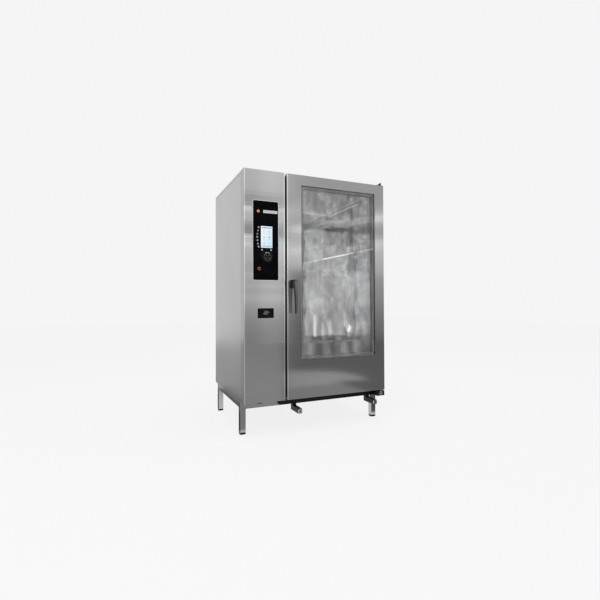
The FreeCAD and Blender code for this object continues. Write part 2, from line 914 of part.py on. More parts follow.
def build_knob():
    """Turned dial with finger flutes cut round its grip."""
    body = new_body("knob")
    profile = draw(body, "knob_profile", "YZ_Plane", knob_x)
    glass = front - size.glassProud
    tip = glass - size.knobGap - size.knobDepth
    rim = glass - size.knobGap - size.knobFlange
    face = glass - size.knobGap
    level = size.knobLevel
    shaft_end = front + size.skinSheet + size.boardPlate
    outline(profile, [
        (tip, level), (tip, level + size.knobGripRadius - 2 * size.knobGap),
        (tip + 2 * size.knobGap, level + size.knobGripRadius), (rim, level + size.knobGripRadius),
        (rim, level + size.knobRadius), (face, level + size.knobRadius),
        (face, level + size.knobShaft), (shaft_end, level + size.knobShaft), (shaft_end, level),
    ])
    line = profile.addGeometry(Part.LineSegment(flat(tip, level), flat(face, level)), True)
    hold(profile, line, 1, tip, level)
    hold(profile, line, 2, face, level)
    turned = body.newObject("PartDesign::Revolution", "knob_turned")
    turned.Profile = profile
    turned.ReferenceAxis = (profile, ["Axis0"])
    turned.Angle = 360
    flute = draw(body, "knob_flute", "XZ_Plane", tip)
    circle(flute, knob_x, level + size.knobGripRadius + size.fluteRadius * 0.7, size.fluteRadius)
    middle = flute.addGeometry(Part.Point(flat(knob_x, level)), True)
    hold(flute, middle, 1, knob_x, level)
    cut = pocket(body, "knob_flute_cut", flute, size.knobDepth - size.knobFlange)
    spin = body.newObject("PartDesign::PolarPattern", "knob_flutes")
    spin.Originals = [cut]
    axis = body.newObject("PartDesign::Line", "knob_axis")
    axis.MapMode = "Deactivated"
    axis.Placement = FreeCAD.Placement(FreeCAD.Vector(), TURNS["y"])
    put(axis, knob_x, front, level)
    spin.Axis = (axis, [""])
    spin.Angle = 360
    bind(spin, "Occurrences", size.fluteCount)
    body.Tip = spin
    keep("control_knob", body)


def build_switch():
    """Recessed plate low on the column with the pointer of the main switch."""
    skin = size.skinSheet
    wall = size.switchWall
    floor = front + size.switchRecess
    dish = new_body("switch_dish")
    outer = draw(dish, "dish_outline", "XZ_Plane", front)
    oblong(outer, wider(switch_box_x, -size.glassGap), wider(switch_box_z, -size.glassGap))
    pad(dish, "dish_block", outer, size.switchRecess + wall)
    flange = draw(dish, "dish_flange", "XZ_Plane", front + skin)
    oblong(flange, wider(switch_box_x, size.switchFlange), wider(switch_box_z, size.switchFlange))
    pad(dish, "dish_rim", flange, wall)
    inner = draw(dish, "dish_inside", "XZ_Plane", front)
    oblong(inner, wider(switch_box_x, -wall), wider(switch_box_z, -wall))
    pocket(dish, "dish_hollow", inner, size.switchRecess)
    shaft = draw(dish, "dish_bore", "XZ_Plane", front)
    circle(shaft, switch_x, size.switchLevel, size.pointerShaft + size.knobGap)
    pocket(dish, "dish_shaft_hole", shaft, size.switchRecess + 2 * wall)
    keep("switch_plate", dish)

    pointer = new_body("pointer")
    hub = draw(pointer, "pointer_hub", "XZ_Plane", floor - size.knobGap - size.pointerHeight / 2)
    circle(hub, 0, 0, size.pointerHub)
    pad(pointer, "pointer_disc", hub, size.pointerHeight / 2)
    bar = draw(pointer, "pointer_bar", "XZ_Plane", floor - size.knobGap - size.pointerHeight)
    half = size.pointerLength / 2
    oblong(bar, (-half, half), (-size.pointerWidth / 2, size.pointerWidth / 2),
           size.pointerWidth / 2.5)
    pad(pointer, "pointer_grip", bar, size.pointerHeight)
    stem = draw(pointer, "pointer_stem", "XZ_Plane", floor - size.knobGap)
    circle(stem, 0, 0, size.pointerShaft)
    pad(pointer, "pointer_shaft", stem, size.knobGap + wall)
    tilt = FreeCAD.Rotation(FreeCAD.Vector(0, -1, 0), size.pointerTilt.value)
    pointer.Placement = FreeCAD.Placement(FreeCAD.Vector(), tilt)
    put(pointer, switch_x, 0, size.switchLevel)
    keep("switch_pointer", pointer)


# ---------------------------------------------------------------- door

glass_x = wider(window[0], size.glassOverlap)
glass_z = wider(window[1], size.glassOverlap)
outer_glass_y = (front + size.windowLip, front + size.windowLip + size.outerGlass)
pane_clearance = size.innerGlassGap + 2 * (size.glassHingeRadius + size.skinSheet)
inner_glass_y = (door_back - size.innerGlassGap - size.innerGlass, door_back - size.innerGlassGap)


def build_door_skin():
    """Outer tray of the door, with the window's edge turned in all round."""
    skin = size.skinSheet
    body = new_body("door_tray")
    face = draw(body, "door_outline", "XZ_Plane", front)
    oblong(face, (door_left, right), (base, top))
    pad(body, "door_block", face, size.doorThickness)
    round_edges(body, "door_bends", size.bendRadius,
                lambda edge: runs_along(edge, "z") and edge.CenterOfMass.y < front.value + 1)
    inside = draw(body, "door_inside", "XZ_Plane", front + skin)
    oblong(inside, (door_left + skin, right - skin), (base + skin, top - skin))
    pocket(body, "door_hollow", inside, size.doorThickness)
    lip = draw(body, "window_lip", "XZ_Plane", front)
    oblong(lip, wider(window[0], skin), wider(window[1], skin), size.windowCorner + skin)
    pad(body, "window_edge", lip, size.windowLip)
    hole = draw(body, "window_cut", "XZ_Plane", front)
    oblong(hole, *window, size.windowCorner)
    pocket(body, "window_hole", hole, size.windowLip)
    spindle = draw(body, "door_spindle_place", "XZ_Plane", front)
    circle(spindle, handle_x, size.handleLevel, size.spindleRadius + size.knobGap)
    pocket(body, "door_spindle_hole", spindle, skin)
    for number, (low, high) in enumerate(((base, base + skin), (top - skin, top))):
        pin = draw(body, f"door_pin_place_{number}", "XY_Plane", low)
        circle(pin, hinge_x, hinge_y, size.hingeBushRadius + size.fitGap)
        pocket(body, f"door_pin_hole_{number}", pin, high - low)
    keep("door_skin", body)


def build_door_frame():
    """Folded frame between the two panes; its upright edge shows through the glass."""
    band = size.innerFrameBand
    wall = size.panThickness
    overlap = size.glassOverlap
    outer = (wider(window[0], overlap), wider(window[1], overlap))
    inner = (wider(window[0], overlap - band), wider(window[1], overlap - band))
    y = (outer_glass_y[1] + size.glassGap, inner_glass_y[0] - size.glassGap)
    body = ring_plate("frame_between", outer, inner, y, size.windowCorner)
    groove = draw(body, "frame_between_groove", "XZ_Plane", y[0] + wall)
    oblong(groove, wider(outer[0], wall), wider(outer[1], wall))
    oblong(groove, wider(inner[0], wall), wider(inner[1], wall))
    pocket(body, "frame_between_fold", groove, y[1] - y[0])
    keep("door_glass_frame", body)


def build_door_liner():
    """Inner sheet of the door, open where the inner pane swings out."""
    skin = size.skinSheet
    plate = size.linerPlate
    body = new_body("door_back_sheet")
    face = draw(body, "liner_outline", "XZ_Plane", door_back - plate)
    clear = pane_clearance
    oblong(face, (door_left + skin, right - skin), (base + skin, top - skin))
    oblong(face, wider(glass_x, clear), wider(glass_z, clear))
    circle(face, handle_x, size.handleLevel, size.spindleRadius + size.knobGap)
    pad(body, "liner_sheet", face, plate)
    step = draw(body, "liner_step", "XZ_Plane", outer_glass_y[0])
    oblong(step, wider(glass_x, clear + skin), wider(glass_z, clear + skin))
    oblong(step, wider(glass_x, clear), wider(glass_z, clear))
    pad(body, "liner_walls", step, door_back - plate - outer_glass_y[0])
    keep("door_liner", body)


def build_door_glass():
    pane = block("pane_outer", glass_x, outer_glass_y, glass_z)
    keep("door_glass_outer", pane)
    pane = block("pane_inner", glass_x, inner_glass_y, glass_z)
    keep("door_glass_inner", pane)


def glass_hinge_heights():
    inset = size.glassHingeInset
    length = size.glassHingeLength
    low = (glass_z[0] + inset, glass_z[0] + inset + length)
    high = (glass_z[1] - inset - length, glass_z[1] - inset)
    return low, high


def build_glass_hinges():
    """Knuckles bonded to the inner pane turn on pins held between ears of the door's frame."""
    radius = size.glassHingeRadius
    wall = size.skinSheet
    outer = radius + wall
    axis_x = glass_x[1] + outer
    axis_y = door_back - size.innerGlassGap - size.innerGlass / 2
    far = glass_x[1] + pane_clearance
    knuckles = []
    ears = []
    for number, (low, high) in enumerate(glass_hinge_heights()):
        barrel = tube(f"knuckle_{number}", outer, size.glassHingeBore, "z", axis_x, axis_y, (low, high))
        knuckles.append(barrel)
        pin = rod(f"glass_pin_{number}", radius, "z", axis_x, axis_y,
                  (low - 2 * outer, high + 2 * outer))
        arms = []
        for name, (bottom, height) in {"low": (low - 2 * outer, low - size.glassGap),
                                       "high": (high + size.glassGap, high + 2 * outer)}.items():
            arms.append(block(f"ear_{name}_{number}", (axis_x - radius, far),
                              (axis_y - outer, axis_y + size.innerGlass / 2), (bottom, height)))
        ears.append(fused(f"glass_ears_{number}", pin, *arms))
    keep("inner_glass_knuckles", group("glass_knuckles", *knuckles))
    keep("inner_glass_pins", group("glass_pins", *ears))


def build_hinge_bushes():
    """Flanged bushes in the door's two right corners."""
    length = size.hingeBushLength
    low = tube("bush_low", size.hingeBushRadius, size.hingeBushBore, "z", hinge_x, hinge_y,
               (base, base + length))
    high = tube("bush_high", size.hingeBushRadius, size.hingeBushBore, "z", hinge_x, hinge_y,
                (top - length, top))
    keep("door_hinge_bushes", group("bushes", low, high))


def build_corner_blocks():
    """Steel blocks inside the door's right corners that carry the bushes."""
    skin = size.skinSheet
    length = size.hingeBushLength
    x = (hinge_x - size.hingeBushRadius - 4 * skin, right - skin)
    y = (front + skin, door_back - size.linerPlate)
    blocks = []
    for name, low, high in (("low", base + skin, base + length),
                            ("high", top - length, top - skin)):
        solid = block(f"corner_{name}_block", x, y, (low, high))
        bore = rod(f"corner_{name}_bore", size.hingeBushRadius + size.fitGap, "z", hinge_x, hinge_y,
                   (low, high))
        blocks.append(less(f"corner_{name}", solid, bore))
    keep("door_corner_blocks", group("corners", *blocks))


# ---------------------------------------------------------------- handle and latch


LEVER_STATIONS = 6


def build_handle():
    """Block on the door, and a lever that narrows and bows towards its tip."""
    x = (handle_x - size.handleBlockWidth / 2, handle_x + size.handleBlockWidth / 2)
    bottom = size.handleLevel - size.handleBlockDrop
    z = (bottom, bottom + size.handleBlockHeight)
    body = new_body("handle_mount")
    foot = draw(body, "mount_foot", "XZ_Plane", front - size.handleBlockDepth)
    oblong(foot, x, z, size.handleBlockWidth / 5)
    circle(foot, handle_x, size.handleLevel, size.spindleBore)
    pad(body, "mount_block", foot, size.handleBlockDepth)
    keep("handle_block", body)

    lever = new_body("lever")
    near = front - size.handleReach
    sections = []
    for number in range(LEVER_STATIONS + 1):
        along = number / LEVER_STATIONS
        bow = 4 * along * (1 - along)
        section = draw(lever, f"lever_section_{number}", "XY_Plane",
                       size.leverTop + (size.leverTip - size.leverTop) * along)
        width = size.leverWidthTop + (size.leverWidthTip - size.leverWidthTop) * along
        thick = size.leverThickTop + (size.leverThickTip - size.leverThickTop) * along
        begin = near + size.leverBow * (1 - bow)
        oblong(section, (handle_x - width / 2, handle_x + width / 2),
               (begin, begin + thick), size.leverThickTip / 3)
        sections.append(section)
    loft = lever.newObject("PartDesign::AdditiveLoft", "lever_loft")
    loft.Profile = sections[0]
    loft.Sections = sections[1:]
    loft.Ruled = True
    boss = draw(lever, "lever_boss", "XZ_Plane", front - size.handleBlockDepth - size.knobGap)
    circle(boss, handle_x, size.handleLevel, 2 * size.spindleRadius)
    pad(lever, "lever_neck", boss, size.handleReach - size.handleBlockDepth - size.leverThickTop
        + size.leverThickTip / 2, onward=False)
    keep("handle_lever", lever)


def build_spindle():
    """Spindle through the door with the cross bar that turns behind the strike plate."""
    strike_back = frame_back + size.hingePlate
    cam_front = strike_back + size.camGap
    body = new_body("spindle")
    end = draw(body, "spindle_end", "XZ_Plane", front - size.handleBlockDepth - size.knobGap)
    circle(end, handle_x, size.handleLevel, size.spindleRadius)
    pad(body, "spindle_rod", end, cam_front + size.camDepth - front + size.handleBlockDepth
        + size.knobGap)
    cam = draw(body, "cam_outline", "XZ_Plane", cam_front)
    oblong(cam, (handle_x - size.camLength / 2, handle_x + size.camLength / 2),
           (size.handleLevel - size.camWidth / 2, size.handleLevel + size.camWidth / 2),
           size.camWidth / 4)
    pad(body, "cam_bar", cam, size.camDepth)
    keep("latch_spindle", body)

    strike = new_body("strike")
    face = draw(strike, "strike_outline", "XZ_Plane", frame_back)
    half = size.camLength / 2 + 2 * size.camWidth
    oblong(face, (handle_x - size.camLength / 2 - size.slotGap,
                  handle_x + size.camLength / 2 + size.slotGap),
           (size.handleLevel - half, size.handleLevel + half), size.bendRadius)
    oblong(face, *cam_slot())
    pad(strike, "strike_sheet", face, size.hingePlate)
    keep("strike_plate", strike)


def cam_slot():
    """The upright slot that the cross bar passes when the lever is turned level."""
    wide = size.camWidth / 2 + size.slotGap
    high = size.camLength / 2 + size.slotGap
    return ((handle_x - wide, handle_x + wide), (size.handleLevel - high, size.handleLevel + high))


# ---------------------------------------------------------------- door hinges


def build_lower_hinge():
    """Arm bolted to the stand's front rail; its pin carries the door."""
    arm_top = stand_top
    x = (right - size.lowerArmWidth, right)
    y = (front + size.lowerArmFront, front + size.legInsetFront)
    z = (arm_top - size.lowerArmHeight, arm_top)
    arm = new_body("hinge_arm_low")
    plan = draw(arm, "arm_low_plan", "XY_Plane", z[0])
    oblong(plan, x, y)
    pad(arm, "arm_low_block", plan, size.lowerArmHeight)
    round_edges(arm, "arm_low_nose", size.hingePlate,
                lambda edge: runs_along(edge, "z") and edge.CenterOfMass.y < y[0].value + 1)
    wall = size.hingePlate
    hollow = draw(arm, "arm_low_inside", "XY_Plane", z[0])
    oblong(hollow, (x[0] + wall, x[1] - wall), (y[0] + wall, y[1] - wall))
    pocket(arm, "arm_low_hollow", hollow, size.lowerArmHeight - wall)
    seat = draw(arm, "arm_low_pin_place", "XY_Plane", arm_top - wall)
    circle(seat, hinge_x, hinge_y, size.hingePinRadius + size.fitGap)
    pocket(arm, "arm_low_pin_hole", seat, wall)
    bolt_x, bolt_z = ((span[0] + span[1]) / 2 for span in (x, z))
    bolt = draw(arm, "arm_low_bolt_place", "XZ_Plane", y[0])
    circle(bolt, bolt_x, bolt_z, size.boltBore + size.fitGap)
    pocket(arm, "arm_low_bolt_hole", bolt, wall)
    keep("lower_hinge_arm", arm)

    pin = rod("pin_low_rod", size.hingePinRadius, "z", hinge_x, hinge_y,
              (arm_top - wall, base + size.hingeBushLength))
    washer = rod("pin_low_washer", size.hingeBushRadius, "z", hinge_x, hinge_y,
                 (arm_top, base - size.washerGap))
    head = new_body("bolt_low")
    profile = draw(head, "bolt_profile", "XZ_Plane", y[0] - size.boltHeadDepth)
    circle(profile, bolt_x, bolt_z, size.boltHeadRadius)
    circle(profile, bolt_x, bolt_z, size.boltBore)
    pad(head, "bolt_washer", profile, size.boltHeadDepth)
    core = draw(head, "bolt_core", "XZ_Plane", y[0] - size.boltHeadDepth / 2)
    circle(core, bolt_x, bolt_z, size.boltBore)
    pad(head, "bolt_shank", core, size.boltHeadDepth / 2 + wall)
    keep("lower_hinge_bolt", head)
    return fused("pin_low", pin, washer)


def build_upper_hinge():
    """Plate on the top cover that reaches over the door, stiffened by an upright gusset."""
    x = (right - size.upperArmLeft, right - size.upperArmRight)
    y = (front + size.upperArmFront, front + size.upperArmBack)
    arm = new_body("hinge_arm_high")
    plan = draw(arm, "arm_high_plan", "XY_Plane", top)
    oblong(plan, x, y)
    thick = size.hingePlate + size.doorTopGap
    pad(arm, "arm_high_plate", plan, thick)
    relief = draw(arm, "arm_high_relief", "XY_Plane", top)
    oblong(relief, (x[0] - thick, x[1] + thick), (y[0] - thick, frame_face))
    pocket(arm, "arm_high_clearance", relief, size.doorTopGap)
    seat = draw(arm, "arm_high_pin_place", "XY_Plane", top)
    circle(seat, hinge_x, hinge_y, size.hingePinRadius + size.fitGap)
    pocket(arm, "arm_high_pin_hole", seat, thick)
    web = draw(arm, "arm_high_gusset", "XZ_Plane", hinge_y - size.gussetThickness / 2)
    outline(web, [(x[1] - size.gussetLeft, top + thick), (x[1], top + thick),
                  (x[1], top + thick + size.gussetHeight)])
    pad(arm, "arm_high_web", web, size.gussetThickness)
    keep("upper_hinge_arm", arm)

    return rod("pin_high", size.hingePinRadius, "z", hinge_x, hinge_y,
               (top - size.hingeBushLength, top + thick))


# ---------------------------------------------------------------- cavity

gasket_x = wider(opening[0], size.gasketInset)
gasket_z = wider(opening[1], size.gasketInset)


def build_front_frame():
    """Front of the cabinet round the cavity, folded back along both sides."""
    plate = size.framePlate
    skin = size.skinSheet
    x = (column_right - size.frameInset, right - skin)
    z = (pan_bottom, top - skin)
    body = new_body("frame_front")
    face = draw(body, "frame_outline", "XZ_Plane", frame_face)
    oblong(face, x, z)
    oblong(face, *opening, size.openingCorner)
    pad(body, "frame_plate", face, plate)
    slot = draw(body, "frame_cam_slot", "XZ_Plane", frame_face)
    oblong(slot, *cam_slot())
    pocket(body, "frame_cam_hole", slot, plate)
    for name, span in (("left", (x[0], x[0] + plate)), ("right", (x[1] - plate, x[1]))):
        fold = draw(body, f"frame_fold_{name}", "XZ_Plane", frame_back)
        oblong(fold, span, (base + size.panLip + size.panelSeam, z[1]))
        pad(body, f"frame_return_{name}", fold, size.frameReturn)
    keep("cavity_front_frame", body)


def build_gasket():
    """Seal round the opening, a hair short of the closed door."""
    deep = size.gasketWidth
    y = (door_back + size.gasketGap, frame_face)
    seal = ring_plate("seal", (wider(gasket_x, deep), wider(gasket_z, deep)), (gasket_x, gasket_z), y,
                      size.openingCorner, size.openingCorner + deep)
    keep("door_seal", seal)


def build_liner():
    """Welded tub, open to the front, with rounded long corners."""
    sheet_wall = size.cavitySheet
    body = new_body("tub")
    outside = draw(body, "tub_outside", "XZ_Plane", cavity_y[0])
    oblong(outside, wider(cavity_x, sheet_wall), wider(cavity_z, sheet_wall),
           size.cavityCorner + sheet_wall)
    pad(body, "tub_block", outside, cavity_y[1] + sheet_wall - cavity_y[0])
    inside = draw(body, "tub_inside", "XZ_Plane", cavity_y[0])
    oblong(inside, cavity_x, cavity_z, size.cavityCorner)
    pocket(body, "tub_hollow", inside, cavity_y[1] - cavity_y[0])
    drain = draw(body, "tub_drain", "XY_Plane", cavity_z[0] - sheet_wall)
    circle(drain, left + size.drainOffset, front + size.drainDepth, size.drainRadius)
    pocket(body, "tub_drain_hole", drain, sheet_wall)
    vent = draw(body, "tub_vent", "XY_Plane", cavity_z[1])
    circle(vent, left + size.exhaustOffset, exhaust_y,
           size.exhaustRadius - size.pipeWall)
    pocket(body, "tub_vent_hole", vent, sheet_wall)
    side = draw(body, "tub_side_holes", "YZ_Plane", cavity_x[0] - sheet_wall)
    for y, z, radius in side_passages():
        circle(side, y, z, radius)
    pocket(body, "tub_side_cut", side, sheet_wall)
    keep("cavity_liner", body)


def side_passages():
    """Where shafts, heater legs and the steam pipe go through the cavity's left side."""
    gap = size.glassGap
    places = [(boiler_y, steam_level, size.steamTube + gap)]
    for level in fan_levels:
        places.append((fan_y, level, size.shaftHole))
        for spread in (-size.heaterLegSpread, size.heaterLegSpread):
            places.append((fan_y + spread, heater_leg_level(level), size.heaterLeg + gap))
    return places


def build_insulation():
    """Mineral wool boards between the liner and the outer skin."""
    gap = size.insulationGap
    outer_x = wider(cavity_x, size.cavitySheet + gap)
    outer_z = wider(cavity_z, size.cavitySheet + gap)
    rear_y = cavity_y[1] + size.cavitySheet + gap
    near = cavity_y[0] + size.frameReturn + gap
    pan_floor = pan_bottom + size.panThickness + gap
    pan_edge = size.skinSheet + size.panThickness + gap
    pipe = size.drainRadius + size.glassGap
    drain_x = left + size.drainOffset
    far_x = right - pan_edge
    boards = [
        block("wool_right", (outer_x[1], far_x), (near, rear_y), outer_z),
        block("wool_rear", (bulkhead_right + gap, far_x), (rear_y, rear_y + size.insulationRear), outer_z),
        block("wool_floor_left", (bulkhead_right + gap, drain_x - pipe), (near, rear_y),
              (pan_floor, outer_z[0])),
        block("wool_floor_right", (drain_x + pipe, far_x), (near, rear_y), (pan_floor, outer_z[0])),
    ]
    vent = rod("wool_vent", size.exhaustRadius + gap, "z", left + size.exhaustOffset,
               exhaust_y, (outer_z[1], top))
    boards.append(less("wool_top", block("wool_top_board", (bulkhead_right + gap, far_x), (near, rear_y),
                                         (outer_z[1], top - size.skinSheet - gap)), vent))
    holes = [rod(f"wool_hole_{number}", radius, "x", (bulkhead_right, cavity_x[0]), y, z)
             for number, (y, z, radius) in enumerate(side_passages())]
    wall = block("wool_left_board", (bulkhead_right + gap, outer_x[0]), (near, rear_y), outer_z)
    boards.append(less("wool_left", wall, *holes))
    keep("insulation", group("wool", *boards))


def build_bulkhead():
    """Sheet that parts the hot side from the service column and carries the fan motors."""
    body = new_body("bulkhead")
    face = draw(body, "bulkhead_outline", "YZ_Plane", bulkhead_left)
    near = frame_back + size.frameReturn
    far = back - size.skinSheet - size.panThickness
    low = pan_bottom + size.panThickness
    oblong(face, (near, far), (low, top - size.skinSheet))
    for y, z, radius in side_passages():
        circle(face, y, z, radius)
    pad(body, "bulkhead_sheet", face, size.bulkheadSheet)
    keep("service_bulkhead", body)


# ---------------------------------------------------------------- fans, heaters, baffle


def build_fan_wheel(name, level):
    """Backplate and hub on the motor's shaft, a ring of swept blades, and a front shroud."""
    back_x = cavity_x[0] + size.wheelGap
    front_x = back_x + size.wheelWidth
    body = new_body(name)
    disc = draw(body, f"{name}_disc", "YZ_Plane", back_x)
    circle(disc, fan_y, level, size.wheelRadius)
    pad(body, f"{name}_backplate", disc, size.wheelPlate)
    hub = draw(body, f"{name}_hub", "YZ_Plane", back_x)
    circle(hub, fan_y, level, size.hubRadius)
    pad(body, f"{name}_boss", hub, size.wheelWidth * 0.8)
    shaft = draw(body, f"{name}_shaft", "YZ_Plane", back_x)
    circle(shaft, fan_y, level, size.shaftRadius)
    pad(body, f"{name}_axle", shaft, back_x - bulkhead_left + size.motorFlangeDepth
        + size.motorLength / 3, onward=False)
    shroud = draw(body, f"{name}_shroud", "YZ_Plane", front_x - size.wheelPlate)
    circle(shroud, fan_y, level, size.wheelRadius)
    circle(shroud, fan_y, level, size.wheelEye + (size.wheelRadius - size.wheelEye) / 2)
    blade = draw(body, f"{name}_blade", "YZ_Plane", back_x + size.wheelPlate)
    draw_blade(blade, level)
    vane = pad(body, f"{name}_vane", blade, size.wheelWidth - 2 * size.wheelPlate)
    axis = body.newObject("PartDesign::Line", f"{name}_axis")
    axis.MapMode = "Deactivated"
    axis.Placement = FreeCAD.Placement(FreeCAD.Vector(), TURNS["x"])
    put(axis, back_x, fan_y, level)
    ring = body.newObject("PartDesign::PolarPattern", f"{name}_vanes")
    ring.Originals = [vane]
    ring.Axis = (axis, [""])
    ring.Angle = 360
    bind(ring, "Occurrences", size.bladeCount)
    body.Tip = ring
    pad(body, f"{name}_ring", shroud, size.wheelPlate)
    keep(name, body)


def draw_blade(sketch, level):
    """One blade, folded once on its way from the wheel's eye to its rim."""
    outer = size.wheelRadius - size.wheelPlate
    fold = (size.wheelEye + outer) / 2
    stations = ((size.wheelEye, 0 * size.bladeSweep), (fold, size.bladeSweep * 0.4), (outer, size.bladeSweep))
    near = [(fan_y + reach * cosine(turn), level + reach * sine(turn)) for reach, turn in stations]
    far = [(y - size.wheelPlate, z) for y, z in near]
    outline(sketch, near + far[::-1])


def build_motors():
    """Flanged motors on the cool side of the bulkhead."""
    motors = []
    for number, level in enumerate(fan_levels):
        flange_x = (bulkhead_left - size.motorFlangeDepth, bulkhead_left)
        body_x = (flange_x[0] - size.motorLength, flange_x[0])
        shell = fused(f"motor_shell_{number}",
                      rod(f"motor_flange_{number}", size.motorFlange, "x", flange_x, fan_y, level),
                      rod(f"motor_can_{number}", size.motorRadius, "x", body_x, fan_y, level))
        bore = rod(f"motor_bore_{number}", size.shaftBore, "x",
                   (body_x[1] - size.motorLength / 2, flange_x[1]), fan_y, level)
        motors.append(less(f"motor_{number}", shell, bore))
    keep("fan_motors", group("motors", *motors))


def sided_ring(name, outer, inner, x, width, y, z):
    """A ring made of short straight runs round the x axis."""
    prisms = []
    for kind, radius in (("rim", outer), ("eye", inner)):
        prism = doc.addObject("Part::Prism", f"{name}_{kind}")
        bind(prism, "Polygon", size.heaterSides)
        bind(prism, "Circumradius", radius)
        bind(prism, "Height", width)
        prism.Placement = FreeCAD.Placement(FreeCAD.Vector(), TURNS["x"])
        put(prism, x, y, z)
        prisms.append(prism)
    return less(name, *prisms)


def build_heaters():
    """A ring-shaped element round each wheel, its two legs led out through the bulkhead."""
    solids = []
    ring_x = cavity_x[0] + size.heaterGap
    for number, level in enumerate(fan_levels):
        pieces = [sided_ring(f"heater_ring_{number}", size.heaterRadius + size.heaterTube,
                             size.heaterRadius - size.heaterTube, ring_x - size.heaterTube,
                             2 * size.heaterTube, fan_y, level)]
        for side, spread in enumerate((-size.heaterLegSpread, size.heaterLegSpread)):
            pieces.append(rod(f"heater_leg_{number}{side}", size.heaterLeg, "x",
                              (bulkhead_left - size.heaterReach, ring_x),
                              fan_y + spread, heater_leg_level(level)))
        solids.append(fused(f"heater_{number}", *pieces))
    keep("heating_elements", group("heaters", *solids))


def heater_leg_level(level):
    """Height at which the two legs meet the ring, one each side of its top."""
    radius = size.heaterRadius
    return level + root_of(radius * radius - size.heaterLegSpread * size.heaterLegSpread)


def build_baffle():
    """Air guide in front of the fans: radial suction slots, a folded front edge, rear knuckles."""
    sheet_wall = size.baffleSheet
    x = (baffle_x, baffle_x + sheet_wall)
    near = front + size.baffleFront
    z = wider(cavity_z, -size.baffleMargin)
    body = new_body("baffle")
    face = draw(body, "baffle_outline", "YZ_Plane", x[0])
    oblong(face, (near, baffle_axis_y - size.baffleTongue), z, size.baffleKnuckle)
    pad(body, "baffle_sheet", face, sheet_wall)
    fold = draw(body, "baffle_fold", "YZ_Plane", x[0] - size.baffleFold)
    oblong(fold, (near, near + sheet_wall), wider(z, -size.baffleKnuckle))
    pad(body, "baffle_front_edge", fold, size.baffleFold)
    for number, (low, high) in enumerate(baffle_knuckle_heights()):
        tongue = draw(body, f"baffle_tongue_{number}", "YZ_Plane", x[0])
        oblong(tongue, (baffle_axis_y - size.baffleTongue, baffle_axis_y), (low, high))
        pad(body, f"baffle_tongue_sheet_{number}", tongue, sheet_wall)
        eye = draw(body, f"baffle_eye_{number}", "XY_Plane", low)
        circle(eye, baffle_axis_x, baffle_axis_y, size.baffleKnuckle)
        pad(body, f"baffle_knuckle_{number}", eye, high - low)
        bore = draw(body, f"baffle_bore_{number}", "XY_Plane", low)
        circle(bore, baffle_axis_x, baffle_axis_y, size.bafflePinRadius + size.runningGap)
        pocket(body, f"baffle_bore_cut_{number}", bore, high - low)
    for number, level in enumerate(fan_levels):
        slot = draw(body, f"grille_slot_{number}", "YZ_Plane", x[0])
        oblong(slot, (fan_y + size.grilleInner, fan_y + size.grilleOuter),
               (level - size.grilleSlot / 2, level + size.grilleSlot / 2))
        cut = pocket(body, f"grille_cut_{number}", slot, sheet_wall)
        axis = body.newObject("PartDesign::Line", f"grille_axis_{number}")
        axis.MapMode = "Deactivated"
        axis.Placement = FreeCAD.Placement(FreeCAD.Vector(), TURNS["x"])
        put(axis, x[0], fan_y, level)
        rays = body.newObject("PartDesign::PolarPattern", f"grille_rays_{number}")
        rays.Originals = [cut]
        rays.Axis = (axis, [""])
        rays.Angle = 360
        bind(rays, "Occurrences", size.grilleCount)
        body.Tip = rays
    keep("air_baffle", body)

    half = size.baffleKnuckle - size.bafflePinRadius / 3
    brackets = []
    for number, (low, high) in enumerate(baffle_knuckle_heights()):
        ears = []
        for name, bottom, upper in (("low", low - size.baffleEar, low - size.glassGap),
                                    ("high", high + size.glassGap, high + size.baffleEar)):
            ears.append(block(f"baffle_ear_{name}_{number}", (baffle_axis_x - half, baffle_axis_x + half),
                              (baffle_axis_y - size.bafflePinRadius - size.baffleSheet / 2, cavity_y[1]),
                              (bottom, upper)))
        pin = rod(f"baffle_pin_{number}", size.bafflePinRadius, "z", baffle_axis_x, baffle_axis_y,
                  (low - size.baffleEar, high + size.baffleEar))
        brackets.append(fused(f"baffle_bracket_{number}", pin, *ears))
    post_y = near + size.baffleMargin
    posts = [rod(f"baffle_post_{number}", size.baffleKnuckle, "x",
                 (cavity_x[0], baffle_x - size.glassGap), post_y, level)
             for number, level in enumerate(wider(z, -2 * size.baffleMargin))]
    keep("baffle_mounts", group("baffle_hangers", *brackets, *posts))


baffle_axis_x = baffle_x + size.baffleSheet / 2
baffle_axis_y = cavity_y[1] - size.baffleRear


def baffle_knuckle_heights():
    inset = size.baffleMargin * 6
    length = size.baffleKnuckleLength
    low = (cavity_z[0] + inset, cavity_z[0] + inset + length)
    high = (cavity_z[1] - inset - length, cavity_z[1] - inset)
    return low, high


# ---------------------------------------------------------------- services


def bent_tube(name, radius, plane, depth, corners):
    """A round tube along a route of straight runs, cut and welded at each corner."""
    body = new_body(name)
    route = draw(body, f"{name}_route", plane, depth)
    items = [route.addGeometry(Part.LineSegment(flat(*near), flat(*far)), False)
             for near, far in zip(corners, corners[1:])]
    for number, item in enumerate(items):
        hold(route, item, 1, *corners[number])
    hold(route, items[-1], 2, *corners[-1])
    for first, second in zip(items, items[1:]):
        route.addConstraint(Sketcher.Constraint("Coincident", first, 2, second, 1))
    for kind, reach in (("Additive", radius), ("Subtractive", radius - size.pipeWall)):
        disc = draw(body, f"{name}_{kind}_disc", "XY_Plane", corners[0][1])
        middle = (corners[0][0], depth) if plane == "XZ_Plane" else (depth, corners[0][0])
        circle(disc, *middle, reach)
        pipe = body.newObject(f"PartDesign::{kind}Pipe", f"{name}_{kind}")
        pipe.Profile = disc
        pipe.Spine = (route, [])
        pipe.Transition = "Right corner"
    return body


def around(middle, reach):
    """The span that reaches equally far each side of a middle."""
    return (middle - reach, middle + reach)


